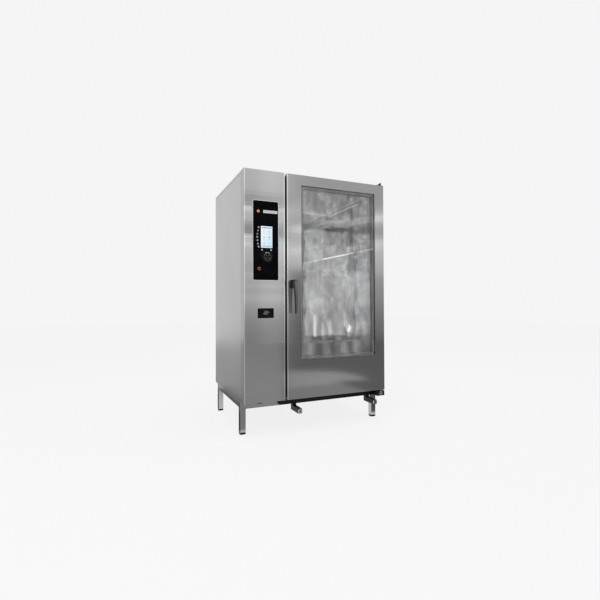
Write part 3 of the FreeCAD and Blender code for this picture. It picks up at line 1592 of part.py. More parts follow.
def cut_corner(begin, corner, end, bend):
    """A route that goes up or down, then level, with its square corner cut off."""
    rise = bend if corner[1].value > begin[1].value else -bend
    run = bend if end[0].value > corner[0].value else -bend
    return [begin, (corner[0], corner[1] - rise), (corner[0] + run, corner[1]), end]


def build_drain():
    """Pipe from the cavity floor, bent under it and out through the rear panel."""
    y = front + size.drainDepth
    corners = cut_corner((y, cavity_z[0] - size.cavitySheet), (y, size.drainLevel),
                         (back + size.rearReach, size.drainLevel), size.drainBend)
    x = left + size.drainOffset
    pipe = bent_tube("drain", size.drainRadius, "YZ_Plane", x, corners)
    collar = draw(pipe, "drain_collar", "XZ_Plane", back)
    oblong(collar, around(x, size.drainRadius + size.collarReach),
           around(size.drainLevel, size.drainRadius + size.collarReach))
    circle(collar, x, size.drainLevel, size.drainRadius - size.pipeWall)
    pad(pipe, "drain_collar_plate", collar, size.collarDepth)
    keep("drain_pipe", pipe)


def build_exhaust():
    """Steam outlet from the cavity's ceiling, with a collar where it leaves the top cover."""
    x = left + size.exhaustOffset
    pipe = rod("exhaust_tube", size.exhaustRadius, "z", x, exhaust_y,
               (cavity_z[1] + size.cavitySheet, top + size.exhaustRise))
    reach = size.exhaustRadius + size.collarReach
    collar = block("exhaust_collar", around(x, reach), around(exhaust_y, reach),
                   (top, top + size.collarDepth))
    bore = rod("exhaust_bore", size.exhaustRadius - size.pipeWall, "z", x, exhaust_y,
               (cavity_z[1], top + size.exhaustRise))
    keep("steam_exhaust", less("exhaust", fused("exhaust_solid", pipe, collar), bore))


def build_steam_generator():
    """Boiler with a coned lid, and a pipe from its neck to the cavity."""
    body = new_body("boiler")
    floor = pan_bottom + size.panThickness
    dome = floor + size.boilerHeight
    skirt = size.boilerDome
    radius = size.boilerRadius
    profile = draw(body, "boiler_profile", "XZ_Plane", boiler_y)
    neck = boiler_x + size.steamTube + size.pipeWall
    outline(profile, [
        (boiler_x, floor), (boiler_x + radius, floor), (boiler_x + radius, dome - 2 * skirt),
        (neck, dome - skirt / 4), (neck, dome), (boiler_x, dome),
    ])
    line = profile.addGeometry(Part.LineSegment(flat(boiler_x, floor), flat(boiler_x, dome)), True)
    hold(profile, line, 1, boiler_x, floor)
    hold(profile, line, 2, boiler_x, dome)
    turned = body.newObject("PartDesign::Revolution", "boiler_turned")
    turned.Profile = profile
    turned.ReferenceAxis = (profile, ["Axis0"])
    turned.Angle = 360
    keep("steam_generator", body)

    corners = cut_corner((boiler_x, dome), (boiler_x, steam_level), (cavity_x[0], steam_level),
                         size.steamBend)
    keep("steam_pipe", bent_tube("steam_feed", size.steamTube, "XZ_Plane", boiler_y, corners))


def build_power_board():
    """Plate with its switchgear, held off the bulkhead by four posts."""
    plate_x = (bulkhead_left - size.boardDepth - size.powerPlate, bulkhead_left - size.boardDepth)
    y = (back - size.powerRear - size.powerWidth, back - size.powerRear)
    z = (size.powerLevel, size.powerLevel + size.powerHeight)
    pieces = [block("power_plate", plate_x, y, z)]
    edge = size.panelFlange
    for row, post_z in enumerate(wider(z, -edge)):
        for column, post_y in enumerate(wider(y, -edge)):
            pieces.append(rod(f"power_post_{row}{column}", size.knobFlange, "x",
                              (plate_x[1], bulkhead_left), post_y, post_z))
    step = (z[1] - z[0]) / 4
    for number in range(3):
        low = z[0] + step * number + edge
        pieces.append(block(f"switchgear_{number}", (plate_x[0] - size.boardDepth, plate_x[0]),
                            wider(y, -edge), (low, low + step - edge)))
    keep("power_board", fused("power_unit", *pieces))


def build_lamp():
    """Lamp with a stepped glass on the rear wall of the cavity."""
    x = left + size.lampOffset
    z = size.lampLevel
    wall = cavity_y[1]
    rim = rod("lamp_rim", size.lampRadius, "y", x, (wall - size.lampDepth / 3, wall), z)
    seat = rod("lamp_seat", size.lampRadius * 0.8, "y", x, (wall - size.lampDepth / 3, wall), z)
    keep("lamp_ring", less("lamp_bezel", rim, seat))
    keep("lamp_glass", rod("lens", size.lampRadius * 0.8 - size.glassGap, "y", x,
                           (wall - size.lampDepth, wall), z))


def build_probe_holder():
    """Folded clip on the right wall where the core probe is put away."""
    x = (cavity_x[1] - size.probeClip, cavity_x[1])
    y = front + size.probeDepth
    body = new_body("probe_clip")
    section = draw(body, "clip_section", "XY_Plane", size.probeLevel)
    wall = size.cavitySheet
    wide = size.probeClip
    outline(section, [
        (x[1], y - wide), (x[1], y + wide), (x[1] - wall, y + wide), (x[1] - wall, y + wide / 2),
        (x[0], y + wide / 2), (x[0], y + wide / 2 - wall), (x[1] - wall, y + wide / 2 - wall),
        (x[1] - wall, y - wide / 2 + wall), (x[0], y - wide / 2 + wall), (x[0], y - wide / 2),
        (x[1] - wall, y - wide / 2), (x[1] - wall, y - wide),
    ])
    pad(body, "clip_sheet", section, 4 * size.probeClip)
    keep("probe_holder", body)


def build_rear_fittings():
    """Two threaded water inlets and the cable gland, each with its hexagon outside the panel."""
    def fitting(name, x, z, radius, bore, reach, nut):
        stub = rod(f"{name}_stub", radius, "y", x, (back - 2 * size.inletNutDepth, back + reach), z)
        hexagon = doc.addObject("Part::Prism", f"{name}_hexagon")
        hexagon.Polygon = 6
        bind(hexagon, "Circumradius", nut)
        bind(hexagon, "Height", size.inletNutDepth)
        hexagon.Placement = FreeCAD.Placement(FreeCAD.Vector(), TURNS["y"])
        put(hexagon, x, back, z)
        hole = rod(f"{name}_hole", bore, "y", x, (back - 2 * size.inletNutDepth, back + reach), z)
        return less(name, fused(f"{name}_solid", stub, hexagon), hole)

    inlets = [
        fitting(f"inlet_{number}", left + size.inletOffset + size.inletPitch * number, size.inletLevel,
                size.inletRadius, size.inletBore, size.inletReach, size.inletNut)
        for number in range(2)
    ]
    keep("water_inlets", group("inlets", *inlets))
    gland = fitting("gland", left + size.inletOffset, size.glandLevel, size.glandBore + size.glandWall,
                    size.glandBore, size.glandReach, size.glandRadius)
    keep("cable_gland", gland)


def build_glass_catches():
    """Spring clips on the door's frame beside the free edge of the inner pane."""
    far = glass_x[0] - pane_clearance
    catches = [block(f"catch_{number}", (far, glass_x[0] - size.glassGap), inner_glass_y, span)
               for number, span in enumerate(glass_hinge_heights())]
    keep("inner_glass_catches", group("glass_catches", *catches))


# ---------------------------------------------------------------- build and export

build_stand()
build_docking_guides()
build_gutter()
build_base_pan()
build_side_panels()
build_rear_panel()
build_top_cover()
build_column_cover()
build_column_frame()
build_control_panel()
build_knob()
build_switch()
build_door_skin()
build_door_frame()
build_door_liner()
build_door_glass()
build_glass_hinges()
build_hinge_bushes()
build_corner_blocks()
build_handle()
build_spindle()
keep("door_hinge_pins", group("hinge_pins", build_lower_hinge(), build_upper_hinge()))
build_front_frame()
build_gasket()
build_liner()
build_insulation()
build_bulkhead()
for fan_name, fan_level in zip(("fan_wheel_lower", "fan_wheel_upper"), fan_levels):
    build_fan_wheel(fan_name, fan_level)
build_motors()
build_heaters()
build_baffle()
build_drain()
build_exhaust()
build_steam_generator()
build_power_board()
build_lamp()
build_probe_holder()
build_rear_fittings()
build_glass_catches()

doc.recompute()
troubles = [item.Label for item in doc.Objects
            if any(state in ("Invalid", "Error") for state in item.State)]
assert not troubles, f"failed objects: {troubles}"
for name, thing in parts.items():
    assert not thing.Shape.isNull() and thing.Shape.isValid(), f"bad shape: {name}"

os.makedirs("parts", exist_ok=True)
for name, thing in parts.items():
    thing.Shape.exportStep(f"parts/{name}.step")
print(len(parts), "sub-parts written")
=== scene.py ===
import math
import bmesh
import bpy
from mathutils import Matrix, Vector, noise


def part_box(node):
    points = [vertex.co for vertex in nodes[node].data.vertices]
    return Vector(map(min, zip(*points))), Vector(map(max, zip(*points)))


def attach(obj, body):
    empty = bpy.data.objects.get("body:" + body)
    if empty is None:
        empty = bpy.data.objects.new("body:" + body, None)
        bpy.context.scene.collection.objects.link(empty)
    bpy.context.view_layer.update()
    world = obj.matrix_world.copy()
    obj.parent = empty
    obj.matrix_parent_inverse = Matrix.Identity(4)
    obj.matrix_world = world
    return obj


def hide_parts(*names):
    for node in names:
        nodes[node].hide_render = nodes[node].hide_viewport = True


# Looks for a floor-standing combi steamer oven. Metres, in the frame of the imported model.

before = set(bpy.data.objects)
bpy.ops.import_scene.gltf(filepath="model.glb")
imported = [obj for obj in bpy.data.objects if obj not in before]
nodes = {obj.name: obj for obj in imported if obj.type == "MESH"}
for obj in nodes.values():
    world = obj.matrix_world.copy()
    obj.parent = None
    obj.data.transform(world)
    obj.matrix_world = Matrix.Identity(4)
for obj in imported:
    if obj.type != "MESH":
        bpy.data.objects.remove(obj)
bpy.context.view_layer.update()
print("stage: frame loaded,", len(nodes), "nodes")


def corners(node):
    low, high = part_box(node)
    return Vector(low), Vector(high)


def centre(node):
    low, high = corners(node)
    return (low + high) / 2


def feed(tree, node, given):
    # sets each input to a value, or joins it to another node's output
    for name, value in given.items():
        if isinstance(value, bpy.types.NodeSocket):
            tree.links.new(value, node.inputs[name])
        else:
            node.inputs[name].default_value = value


def addNode(tree, kind, given=None, **settings):
    node = tree.nodes.new(kind)
    for name, value in settings.items():
        setattr(node, name, value)
    feed(tree, node, given or {})
    return node


def calculate(tree, operation, *terms):
    return addNode(tree, "ShaderNodeMath", dict(enumerate(terms)), operation=operation).outputs[0]


def axesOf(tree, output="Object"):
    # x, y and z of the place on the object, or with "Normal" of the way that a face looks
    place = addNode(tree, "ShaderNodeTexCoord").outputs[output]
    return addNode(tree, "ShaderNodeSeparateXYZ", {0: place}).outputs


finishes = {}                # every material, by the name it is made with


def newMaterial(name, colour, metallic=0.0, roughness=0.5):
    material = finishes[name] = bpy.data.materials.new(name)
    material.use_nodes = True
    tree = material.node_tree
    shader = tree.nodes["Principled BSDF"]
    feed(tree, shader, {"Base Color": (*colour, 1), "Metallic": metallic, "Roughness": roughness})
    return material, tree, shader


def placedNoise(tree, scale, detail=3.0, shift=(0, 0, 0)):
    # noise on Object coordinates, stretched by a different scale on each axis
    place = addNode(tree, "ShaderNodeTexCoord").outputs["Object"]
    stretch = addNode(tree, "ShaderNodeMapping", {"Vector": place, "Scale": scale, "Location": shift})
    return addNode(tree, "ShaderNodeTexNoise", {"Vector": stretch.outputs["Vector"], "Scale": 1.0,
                                                "Detail": detail}).outputs["Fac"]


def spread(tree, source, low, high, fromLow=0.3, fromHigh=0.7):
    # stretches one range of values over another
    return addNode(tree, "ShaderNodeMapRange", {"Value": source, "From Min": fromLow, "From Max": fromHigh,
                                                "To Min": low, "To Max": high}).outputs["Result"]


def blendColours(tree, factor, first, second, way="MIX"):
    pair = [colour if isinstance(colour, bpy.types.NodeSocket) else (*colour, 1) for colour in (first, second)]
    return addNode(tree, "ShaderNodeMix", {0: factor, 6: pair[0], 7: pair[1]}, data_type="RGBA",
                   blend_type=way).outputs[2]


def bump(tree, shader, height, strength, distance, inner):
    relief = addNode(tree, "ShaderNodeBump", {"Height": height, "Strength": strength, "Distance": distance,
                                              "Normal": inner}).outputs["Normal"]
    feed(tree, shader, {"Normal": relief})
    return relief


def softEdge(tree, radius):
    return addNode(tree, "ShaderNodeBevel", {"Radius": radius}, samples=4).outputs["Normal"]


axisFrames = {               # for a piece turned about an axis: two directions across it, then along it
    "x": (Vector((0, 1, 0)), Vector((0, 0, 1)), Vector((1, 0, 0))),
    "y": (Vector((0, 0, 1)), Vector((1, 0, 0)), Vector((0, 1, 0))),
}


def turnsOf(count):
    # even angles round a circle
    return [2 * math.pi * step / count for step in range(count)]


def newObject(name, mesh):
    thing = bpy.data.objects.new(name, mesh)
    bpy.context.scene.collection.objects.link(thing)
    return thing


def meshOf(name, shape):
    bmesh.ops.recalc_face_normals(shape, faces=shape.faces)
    mesh = bpy.data.meshes.new(name)
    shape.to_mesh(mesh)
    shape.free()
    return mesh


def dressed(thing, finish, body, smooth=True, stands=()):
    # finish, body and slot of a piece that is already in place
    mesh = thing.data
    mesh.materials.clear()
    mesh.materials.append(finishes[finish])
    for face in mesh.polygons:
        face.use_smooth = smooth
    if smooth:
        mesh.set_sharp_from_angle(angle=math.radians(35))
    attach(thing, body)
    if stands:
        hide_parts(*stands)
    return thing


def piece(name, shape, finish, body, smooth=True, stands=()):
    return dressed(newObject(name, meshOf(name, shape)), finish, body, smooth, stands)


def printed(name, shape, finish, body="cabinet"):
    return piece(name, shape, finish, body, smooth=False)


def skinRings(shape, rings, closed=False):
    # joins rings of vertices; a ring of one vertex closes an end to a point
    for lower, upper in list(zip(rings, rings[1:])) + ([(rings[-1], rings[0])] if closed else []):
        count = max(len(lower), len(upper))
        for step in range(count):
            following = (step + 1) % count
            corner = [lower[step % len(lower)], lower[following % len(lower)],
                      upper[following % len(upper)], upper[step % len(upper)]]
            shape.faces.new(list(dict.fromkeys(corner)))


def turned(shape, profile, origin, axis="y", count=32, closed=False):
    # profile: pairs of radius and distance along the axis
    first, second, along = axisFrames[axis]
    rings = []
    for radius, depth in profile:
        base = Vector(origin) + along * depth
        rings.append([shape.verts.new(base + (first * math.cos(turn) + second * math.sin(turn)) * radius)
                      for turn in (turnsOf(count) if radius else [0])])
    skinRings(shape, rings, closed)


def plate(shape, outline, near, far, axis="y"):
    # a flat piece between two depths; the outline lies across the axis
    rings = [[shape.verts.new((depth, a, b) if axis == "x" else (a, depth, b)) for a, b in outline]
             for depth in (near, far)]
    skinRings(shape, rings)
    for ring in rings:
        shape.faces.new(ring)


def frameRing(shape, outer, inner, near, far):
    # a flat ring in the x and z plane; both outlines have the same number of points
    loops = [(outer, near), (inner, near), (inner, far), (outer, far)]
    skinRings(shape, [[shape.verts.new((a, depth, b)) for a, b in line] for line, depth in loops], True)


def rounded(left, right, bottom, top, radius, steps=6, gap=0.0):
    # outline of a rectangle with rounded corners, drawn a gap inside the four sides
    left, right, bottom, top = left + gap, right - gap, bottom + gap, top - gap
    points = []
    for number, (a, b) in enumerate(((right - radius, top - radius), (left + radius, top - radius),
                                     (left + radius, bottom + radius), (right - radius, bottom + radius))):
        for step in range(steps + 1):
            turn = math.pi / 2 * (number + step / steps)
            points.append((a + radius * math.cos(turn), b + radius * math.sin(turn)))
    return points


def circle(a, b, radius, steps=20, start=0.0, sweep=1.0):
    # points along a circle or part of one
    last = steps if sweep == 1.0 else steps - 1
    return [(a + radius * math.cos(2 * math.pi * (start + sweep * step / last)),
             b + radius * math.sin(2 * math.pi * (start + sweep * step / last))) for step in range(steps)]


def spoke(a, b, turn, reaches):
    # points on a line out of a middle
    return [(a + reach * math.cos(turn), b + reach * math.sin(turn)) for reach in reaches]


def stroke(shape, points, width, near, far):
    # a line of even width through points in the x and z plane
    edges = ([], [])
    for number, (a, b) in enumerate(points):
        before, after = points[max(number - 1, 0)], points[min(number + 1, len(points) - 1)]
        run = Vector((after[0] - before[0], after[1] - before[1])).normalized() * width / 2
        edges[0].append((a - run.y, b + run.x))
        edges[1].append((a + run.y, b - run.x))
    plate(shape, edges[0] + edges[1][::-1], near, far)


def tubeAlong(shape, points, radius, count=12, closed=False):
    # a round tube through points
    rings = []
    points = [Vector(point) for point in points]
    side = None
    for number, point in enumerate(points):
        before = points[number - 1] if number or closed else point
        after = points[(number + 1) % len(points)] if closed or number + 1 < len(points) else point
        run = (after - before).normalized()
        side = (side - run * side.dot(run)) if side else run.orthogonal()
        side.normalize()
        across = run.cross(side)
        rings.append([shape.verts.new(point + (side * math.cos(turn) + across * math.sin(turn)) * radius)
                      for turn in turnsOf(count)])
    skinRings(shape, rings, closed)
    if not closed:
        for ring in (rings[0], rings[-1]):
            shape.faces.new(ring)


def islands(node):
    # boxes of the separate solids in one CAD node
    mesh = nodes[node].data
    keys, parent = {}, {}
    for vertex in mesh.vertices:
        keys[vertex.index] = tuple(round(value, 5) for value in vertex.co)
        parent.setdefault(keys[vertex.index], keys[vertex.index])

    def root(key):
        while parent[key] != key:
            parent[key] = parent[parent[key]]
            key = parent[key]
        return key

    for edge in mesh.edges:
        first, second = (root(keys[index]) for index in edge.vertices)
        parent[first] = second
    groups = {}
    for key in parent:
        groups.setdefault(root(key), []).append(key)
    boxes = [tuple(Vector([pick(point[axis] for point in group) for axis in range(3)]) for pick in (min, max))
             for group in groups.values()]
    return sorted(boxes, key=lambda box: tuple(round(value, 3) for value in box[0]))


def touch(node, start, direction):
    # where a ray first meets a CAD node, or None
    hit, place = nodes[node].ray_cast(Vector(start), Vector(direction))[:2]
    return place if hit else None


def newTree(name, sockets):
    # sockets: name and kind of each input between the seed points and the finish
    tree = bpy.data.node_groups.new(name, "GeometryNodeTree")
    for label, kind in {"Seed points": "Geometry", **sockets, "Finish": "Material"}.items():
        tree.interface.new_socket(name=label, in_out="INPUT", socket_type="NodeSocket" + kind)
    tree.interface.new_socket(name="Result", in_out="OUTPUT", socket_type="NodeSocketGeometry")
    start = addNode(tree, "NodeGroupInput").outputs
    real = addNode(tree, "GeometryNodeRealizeInstances")
    paint = addNode(tree, "GeometryNodeSetMaterial", {"Geometry": real.outputs[0], "Material": start["Finish"]})
    addNode(tree, "NodeGroupOutput", {0: paint.outputs[0]})
    return tree, start, real.inputs[0]


def scatterTree():
    # sets a pattern on every vertex, turned the same way and spun a little about its own axis
    tree, start, made = newTree("scatter", {"Pattern": "Object", "Turn": "Vector", "Spin": "Float",
                                            "Scale": "Float"})
    pattern = addNode(tree, "GeometryNodeObjectInfo", {"Object": start["Pattern"]})
    spots = addNode(tree, "GeometryNodeInstanceOnPoints", {
        "Points": start["Seed points"], "Instance": pattern.outputs["Geometry"], "Rotation": start["Turn"],
        "Scale": start["Scale"]})
    chance = addNode(tree, "FunctionNodeRandomValue", {
        "Min": calculate(tree, "MULTIPLY", start["Spin"], -1.0), "Max": start["Spin"], "Seed": 7},
        data_type="FLOAT")
    axis = addNode(tree, "ShaderNodeCombineXYZ", {"Z": chance.outputs["Value"]})
    turn = addNode(tree, "GeometryNodeRotateInstances", {"Instances": spots.outputs[0],
                                                         "Rotation": axis.outputs[0]})
    tree.links.new(turn.outputs[0], made)
    return tree


def coilTree():
    # a round or pointed wire wound about the z axis at every vertex
    tree, start, made = newTree("coil", {"Radius": "Float", "Pitch": "Float", "Turns": "Float",
                                         "Wire": "Float", "Sides": "Int", "Turn": "Vector"})
    spiral = addNode(tree, "GeometryNodeCurveSpiral", {
        "Resolution": 36, "Height": calculate(tree, "MULTIPLY", start["Pitch"], start["Turns"]),
        "Rotations": start["Turns"], "Start Radius": start["Radius"], "End Radius": start["Radius"]})
    section = addNode(tree, "GeometryNodeCurvePrimitiveCircle", {"Resolution": start["Sides"],
                                                                 "Radius": start["Wire"]})
    skin = addNode(tree, "GeometryNodeCurveToMesh", {"Fill Caps": True, "Curve": spiral.outputs[0],
                                                     "Profile Curve": section.outputs[0]})
    spots = addNode(tree, "GeometryNodeInstanceOnPoints", {
        "Points": start["Seed points"], "Instance": skin.outputs[0], "Rotation": start["Turn"]})
    tree.links.new(spots.outputs[0], made)
    return tree


def beadTree():
    # a weld bead: overlapping drops along every edge
    tree, start, made = newTree("bead", {"Spacing": "Float", "Drop": "Float"})
    line = addNode(tree, "GeometryNodeMeshToCurve", {0: start["Seed points"]})
    steps = addNode(tree, "GeometryNodeResampleCurve", {"Curve": line.outputs[0], "Length": start["Spacing"]},
                    mode="LENGTH")
    drop = addNode(tree, "GeometryNodeMeshIcoSphere", {"Subdivisions": 2, "Radius": start["Drop"]})
    chance = addNode(tree, "FunctionNodeRandomValue", {0: (0.85,) * 3, 1: (1.15,) * 3, "Seed": 3},
                     data_type="FLOAT_VECTOR")
    spots = addNode(tree, "GeometryNodeInstanceOnPoints", {
        "Points": steps.outputs[0], "Instance": drop.outputs[0], "Scale": chance.outputs[0]})
    tree.links.new(spots.outputs[0], made)
    return tree


trees = {"scatter": scatterTree(), "coil": coilTree(), "bead": beadTree()}


def grown(name, kind, points, edges, values, finish, body):
    # runs a tree on seed points and keeps the result as a plain mesh
    seed = bpy.data.meshes.new(name + "Seed")
    seed.from_pydata([tuple(point) for point in points], edges, [])
    thing = newObject(name, seed)
    modifier = thing.modifiers.new(name, "NODES")
    modifier.node_group = trees[kind]
    given = {**values, "Finish": finishes[finish]}
    for socket in trees[kind].interface.items_tree:
        if socket.in_out == "INPUT" and socket.name in given:
            modifier[socket.identifier] = given[socket.name]
    graph = bpy.context.evaluated_depsgraph_get()
    made = bpy.data.meshes.new_from_object(thing.evaluated_get(graph))
    thing.modifiers.clear()
    thing.data = made
    made.name = name
    return dressed(thing, finish, body)


steelSizes = {
    "lineWidth": 0.0008,      # width of one brush line
    "lineLength": 0.35,       # its length
    "lineTone": 0.035,        # how far the lines differ in tone
    "wideLines": 0.55,        # how much of the grain is in its wider lines
    "cloudSize": 0.45,        # slow change of tone across a sheet
    "blueness": 1.012,        # steel is slightly blue
    "foldIn": 0.0055,         # from a sheet's side to the middle of its folded edge
    "foldInner": 0.0010,      # half width of the brightest part of the painted highlight on a folded edge
    "foldOuter": 0.0048,      # half width of the whole painted highlight
    # tone of the painted highlight on a folded edge
    "foldHighlightTone": 0.80,
}


def brushedSteel(name, tone, along, roughness=0.30, lines=1.0, clouds=0.04, anisotropy=0.55, turn=0.0,
                 waves=None, buckle=0.006, metallic=1.0, corner=0.0008, highlightFolds=(), returns=None):
    # along: 0, 1 or 2, the axis that the grain follows
    # waves: how close the sheet's buckles lie along each axis; buckle: how deep they are
    # folds: x of upright folded edges, which get a painted highlight, a bright line standing in for the reflection on
    # their rounded edges
    # returns: tone and roughness of the faces that look to the left or right
    material, tree, shader = newMaterial(name, (tone,) * 3, metallic, roughness)
    grain = [1 / steelSizes["lineWidth"]] * 3
    grain[along] = 1 / steelSizes["lineLength"]
    fine = placedNoise(tree, grain, detail=2.0)
    coarse = placedNoise(tree, [value * 0.30 for value in grain], detail=2.0, shift=(3, 7, 5))
    cloud = placedNoise(tree, (1 / steelSizes["cloudSize"],) * 3, detail=1.0)
    wide, lineTone = steelSizes["wideLines"], steelSizes["lineTone"] * lines
    both = calculate(tree, "MULTIPLY_ADD", coarse, wide, calculate(tree, "MULTIPLY", fine, 1 - wide))
    shade = calculate(tree, "MULTIPLY", spread(tree, both, 1 - lineTone, 1 + lineTone, 0.35, 0.65),
                      spread(tree, cloud, 1 - clouds, 1 + clouds))
    colour = blendColours(tree, 1.0, (tone, tone, tone * steelSizes["blueness"]), shade, "MULTIPLY")
    # painted highlight: near each folded edge the colour is blended towards a bright tone
    for fold in highlightFolds:
        gap = calculate(tree, "ABSOLUTE", calculate(tree, "SUBTRACT", axesOf(tree)["X"], fold))
        foldHighlight = spread(tree, gap, 1, 0, steelSizes["foldInner"], steelSizes["foldOuter"])
        colour = blendColours(tree, foldHighlight, colour, (steelSizes["foldHighlightTone"],) * 3)
    rough = spread(tree, both, roughness * 0.85, roughness * 1.2)
    if returns:
        sideways = calculate(tree, "ABSOLUTE", axesOf(tree, "Normal")["X"])
        share = spread(tree, sideways, 0, 1, 0.6, 0.9)
        colour, rough = [blendColours(tree, share, value, (side,) * 3)
                         for value, side in zip((colour, rough), returns)]
    inner = softEdge(tree, corner)
    if waves:
        swell = placedNoise(tree, waves, detail=2.0, shift=(5, 2, 9))
        inner = bump(tree, shader, swell, 0.6, buckle, inner)
    bump(tree, shader, both, 0.03 * lines, 0.0001, inner)
    feed(tree, shader, {"Base Color": colour, "Roughness": rough, "Anisotropic": anisotropy,
                        "Anisotropic Rotation": turn})


def satinMetal(name, colour, roughness, fineness=420, depth=0.05):
    # turned or pressed metal without a clear grain
    material, tree, shader = newMaterial(name, colour, 1.0, roughness)
    speck = placedNoise(tree, (fineness,) * 3)
    blot = placedNoise(tree, (14,) * 3, detail=2.0, shift=(1, 2, 3))
    darker = [value * 0.86 for value in colour]
    lighter = [min(value * 1.08, 1.0) for value in colour]
    feed(tree, shader, {"Base Color": blendColours(tree, spread(tree, blot, 0, 1), darker, lighter),
                        "Roughness": spread(tree, speck, roughness * 0.8, roughness * 1.25)})
    bump(tree, shader, speck, depth, 0.0001, softEdge(tree, 0.0006))


def moulded(name, colour, roughness, fineness=900, depth=0.12, wear=1.25, shine=0.5):
    # moulded plastic: fine pimples, slightly paler where it is handled
    material, tree, shader = newMaterial(name, colour, 0.0, roughness)
    pimple = placedNoise(tree, (fineness,) * 3, detail=2.0)
    handled = placedNoise(tree, (22,) * 3, shift=(4, 1, 2))
    paler = [min(value * wear + 0.002, 1.0) for value in colour]
    feed(tree, shader, {
        "Base Color": blendColours(tree, spread(tree, handled, 0, 1, 0.35, 0.7), colour, paler),
        "Roughness": spread(tree, handled, roughness * 0.85, min(roughness * 1.15, 1.0)),
        "Specular IOR Level": shine})
    bump(tree, shader, pimple, depth, 0.0001, softEdge(tree, 0.0006))
    return material


leverSizes = {
    "slant": 0.0467,          # how far the left edge leans, per metre of height
    "paintedShadeEdge": 0.0055,       # width of the painted shade along the left edge of the front
    "fade": 0.001,            # half width of the step between the painted shade and the lighter front
}


def litAndShadedMoulding(name, front, side, back, roughness):
    # a moulding painted with light and shade: its front face lighter than its near-black sides, a painted shade along
    # the front's left edge, and its back painted bright so that its reflection in the door reads lighter
    material = moulded(name, side, roughness, depth=0.03)
    tree = material.node_tree
    depthways, place = axesOf(tree, "Normal")["Y"], axesOf(tree)
    across = calculate(tree, "MULTIPLY_ADD", place["Z"], leverSizes["slant"], place["X"])
    low, high = corners("handle_lever")
    start = low.x + leverSizes["slant"] * high.z + leverSizes["paintedShadeEdge"]
    # painted shade: a strip along the front's left edge keeps the dark colour; the rest of the front is painted lighter
    litFront = calculate(tree, "MULTIPLY", spread(tree, depthways, 1, 0, -0.85, -0.35),
                     spread(tree, across, 0, 1, start - leverSizes["fade"], start + leverSizes["fade"]))
    # the back is painted bright: painted light that lightens the lever's reflection in the door
    colour = blendColours(tree, spread(tree, depthways, 0, 1, 0.35, 0.85),
                          blendColours(tree, litFront, side, front), back)
    feed(tree, tree.nodes["Principled BSDF"], {"Base Color": colour})


def clearGlass(name, tint, roughness=0.0, ior=1.62):
    material, tree, shader = newMaterial(name, tint, 0.0, roughness)
    smear = placedNoise(tree, (2.5, 2.5, 1.2))
    feed(tree, shader, {"Transmission Weight": 1.0, "IOR": ior,
                        "Roughness": spread(tree, smear, roughness, roughness + 0.015, 0.45, 0.75)})


def glow(name, colour, strength, base=(0.02, 0.02, 0.02)):
    material, tree, shader = newMaterial(name, base, 0.0, 0.25)
    fade = placedNoise(tree, (30,) * 3, detail=1.0)
    feed(tree, shader, {"Emission Color": (*colour, 1), "Emission Strength": strength,
                        "Roughness": spread(tree, fade, 0.2, 0.32)})
    return material


def litScreen(name, first, second, strength, slant=0.55):
    # a display that is whitest at its upper left
    material = glow(name, first, strength)
    tree = material.node_tree
    low, high = corners("display_screen")
    place = axesOf(tree)
    across = calculate(tree, "MULTIPLY_ADD", place["Z"], -slant, place["X"])
    share = spread(tree, across, 0, 1, low.x - slant * high.z, high.x - slant * low.z)
    feed(tree, tree.nodes["Principled BSDF"], {"Emission Color": blendColours(tree, share, first, second)})


columnLow, columnHigh = corners("column_cover")
foldIn = steelSizes["foldIn"]
# the column and the door get a painted highlight along their folded edges
brushedSteel("columnSteel", 0.46, 0, 0.085, lines=0.9, clouds=0.05, anisotropy=0.80, waves=(0.9, 0.9, 34),
             buckle=0.00022, corner=0.0015, highlightFolds=[columnLow.x + foldIn, columnHigh.x - foldIn],
             returns=(0.405, 0.24))
brushedSteel("doorSteel", 0.44, 0, 0.12, lines=0.9, clouds=0.05, anisotropy=0.70, waves=(1.6, 1.6, 22),
             buckle=0.00018, corner=0.0015, highlightFolds=[corners("door_skin")[0].x + foldIn])
brushedSteel("sideSteel", 0.405, 2, 0.24, lines=0.3, turn=0.25)
brushedSteel("topSteel", 0.50, 0, lines=0.7)
brushedSteel("rearSteel", 0.50, 2, lines=0.7, turn=0.25)
brushedSteel("innerSteel", 0.50, 2, lines=0.5, anisotropy=0.3, turn=0.25)
brushedSteel("frameSteel", 0.22, 2, lines=0.5, anisotropy=0.3, turn=0.25)
# the cavity's liner is painted much paler than the outer steel: painted light that brightens the cavity seen through
# the door's glass
brushedSteel("linerSteel", 0.82, 2, 0.05, lines=0.4, anisotropy=0.0, waves=(11, 11, 3.0), metallic=0.75)
brushedSteel("tubeSteel", 0.46, 2, 0.20, lines=1.2, clouds=0.14, corner=0.003)
brushedSteel("railSteel", 0.48, 0, 0.20, lines=1.2, clouds=0.14, corner=0.003)
satinMetal("turnedSteel", (0.62, 0.62, 0.63), 0.22)
satinMetal("castSteel", (0.42, 0.42, 0.43), 0.42, fineness=260, depth=0.15)
satinMetal("bezelSteel", (0.72, 0.72, 0.73), 0.18, fineness=700, depth=0.02)
satinMetal("brass", (0.72, 0.53, 0.27), 0.25)
satinMetal("blackMetal", (0.030, 0.030, 0.032), 0.45, fineness=380, depth=0.12)
satinMetal("heaterSteel", (0.34, 0.33, 0.31), 0.38)
satinMetal("screwSteel", (0.55, 0.55, 0.56), 0.26)
satinMetal("weldSteel", (0.36, 0.35, 0.34), 0.38, fineness=900, depth=0.2)
moulded("blackPlastic", (0.0035, 0.0035, 0.004), 0.36, shine=0.10)
moulded("knobPlastic", (0.004, 0.004, 0.005), 0.28, depth=0.06, shine=0.10)
moulded("pointerPlastic", (0.075, 0.075, 0.077), 0.24, depth=0.04)
moulded("motorPaint", (0.07, 0.09, 0.11), 0.38, fineness=300, depth=0.10)
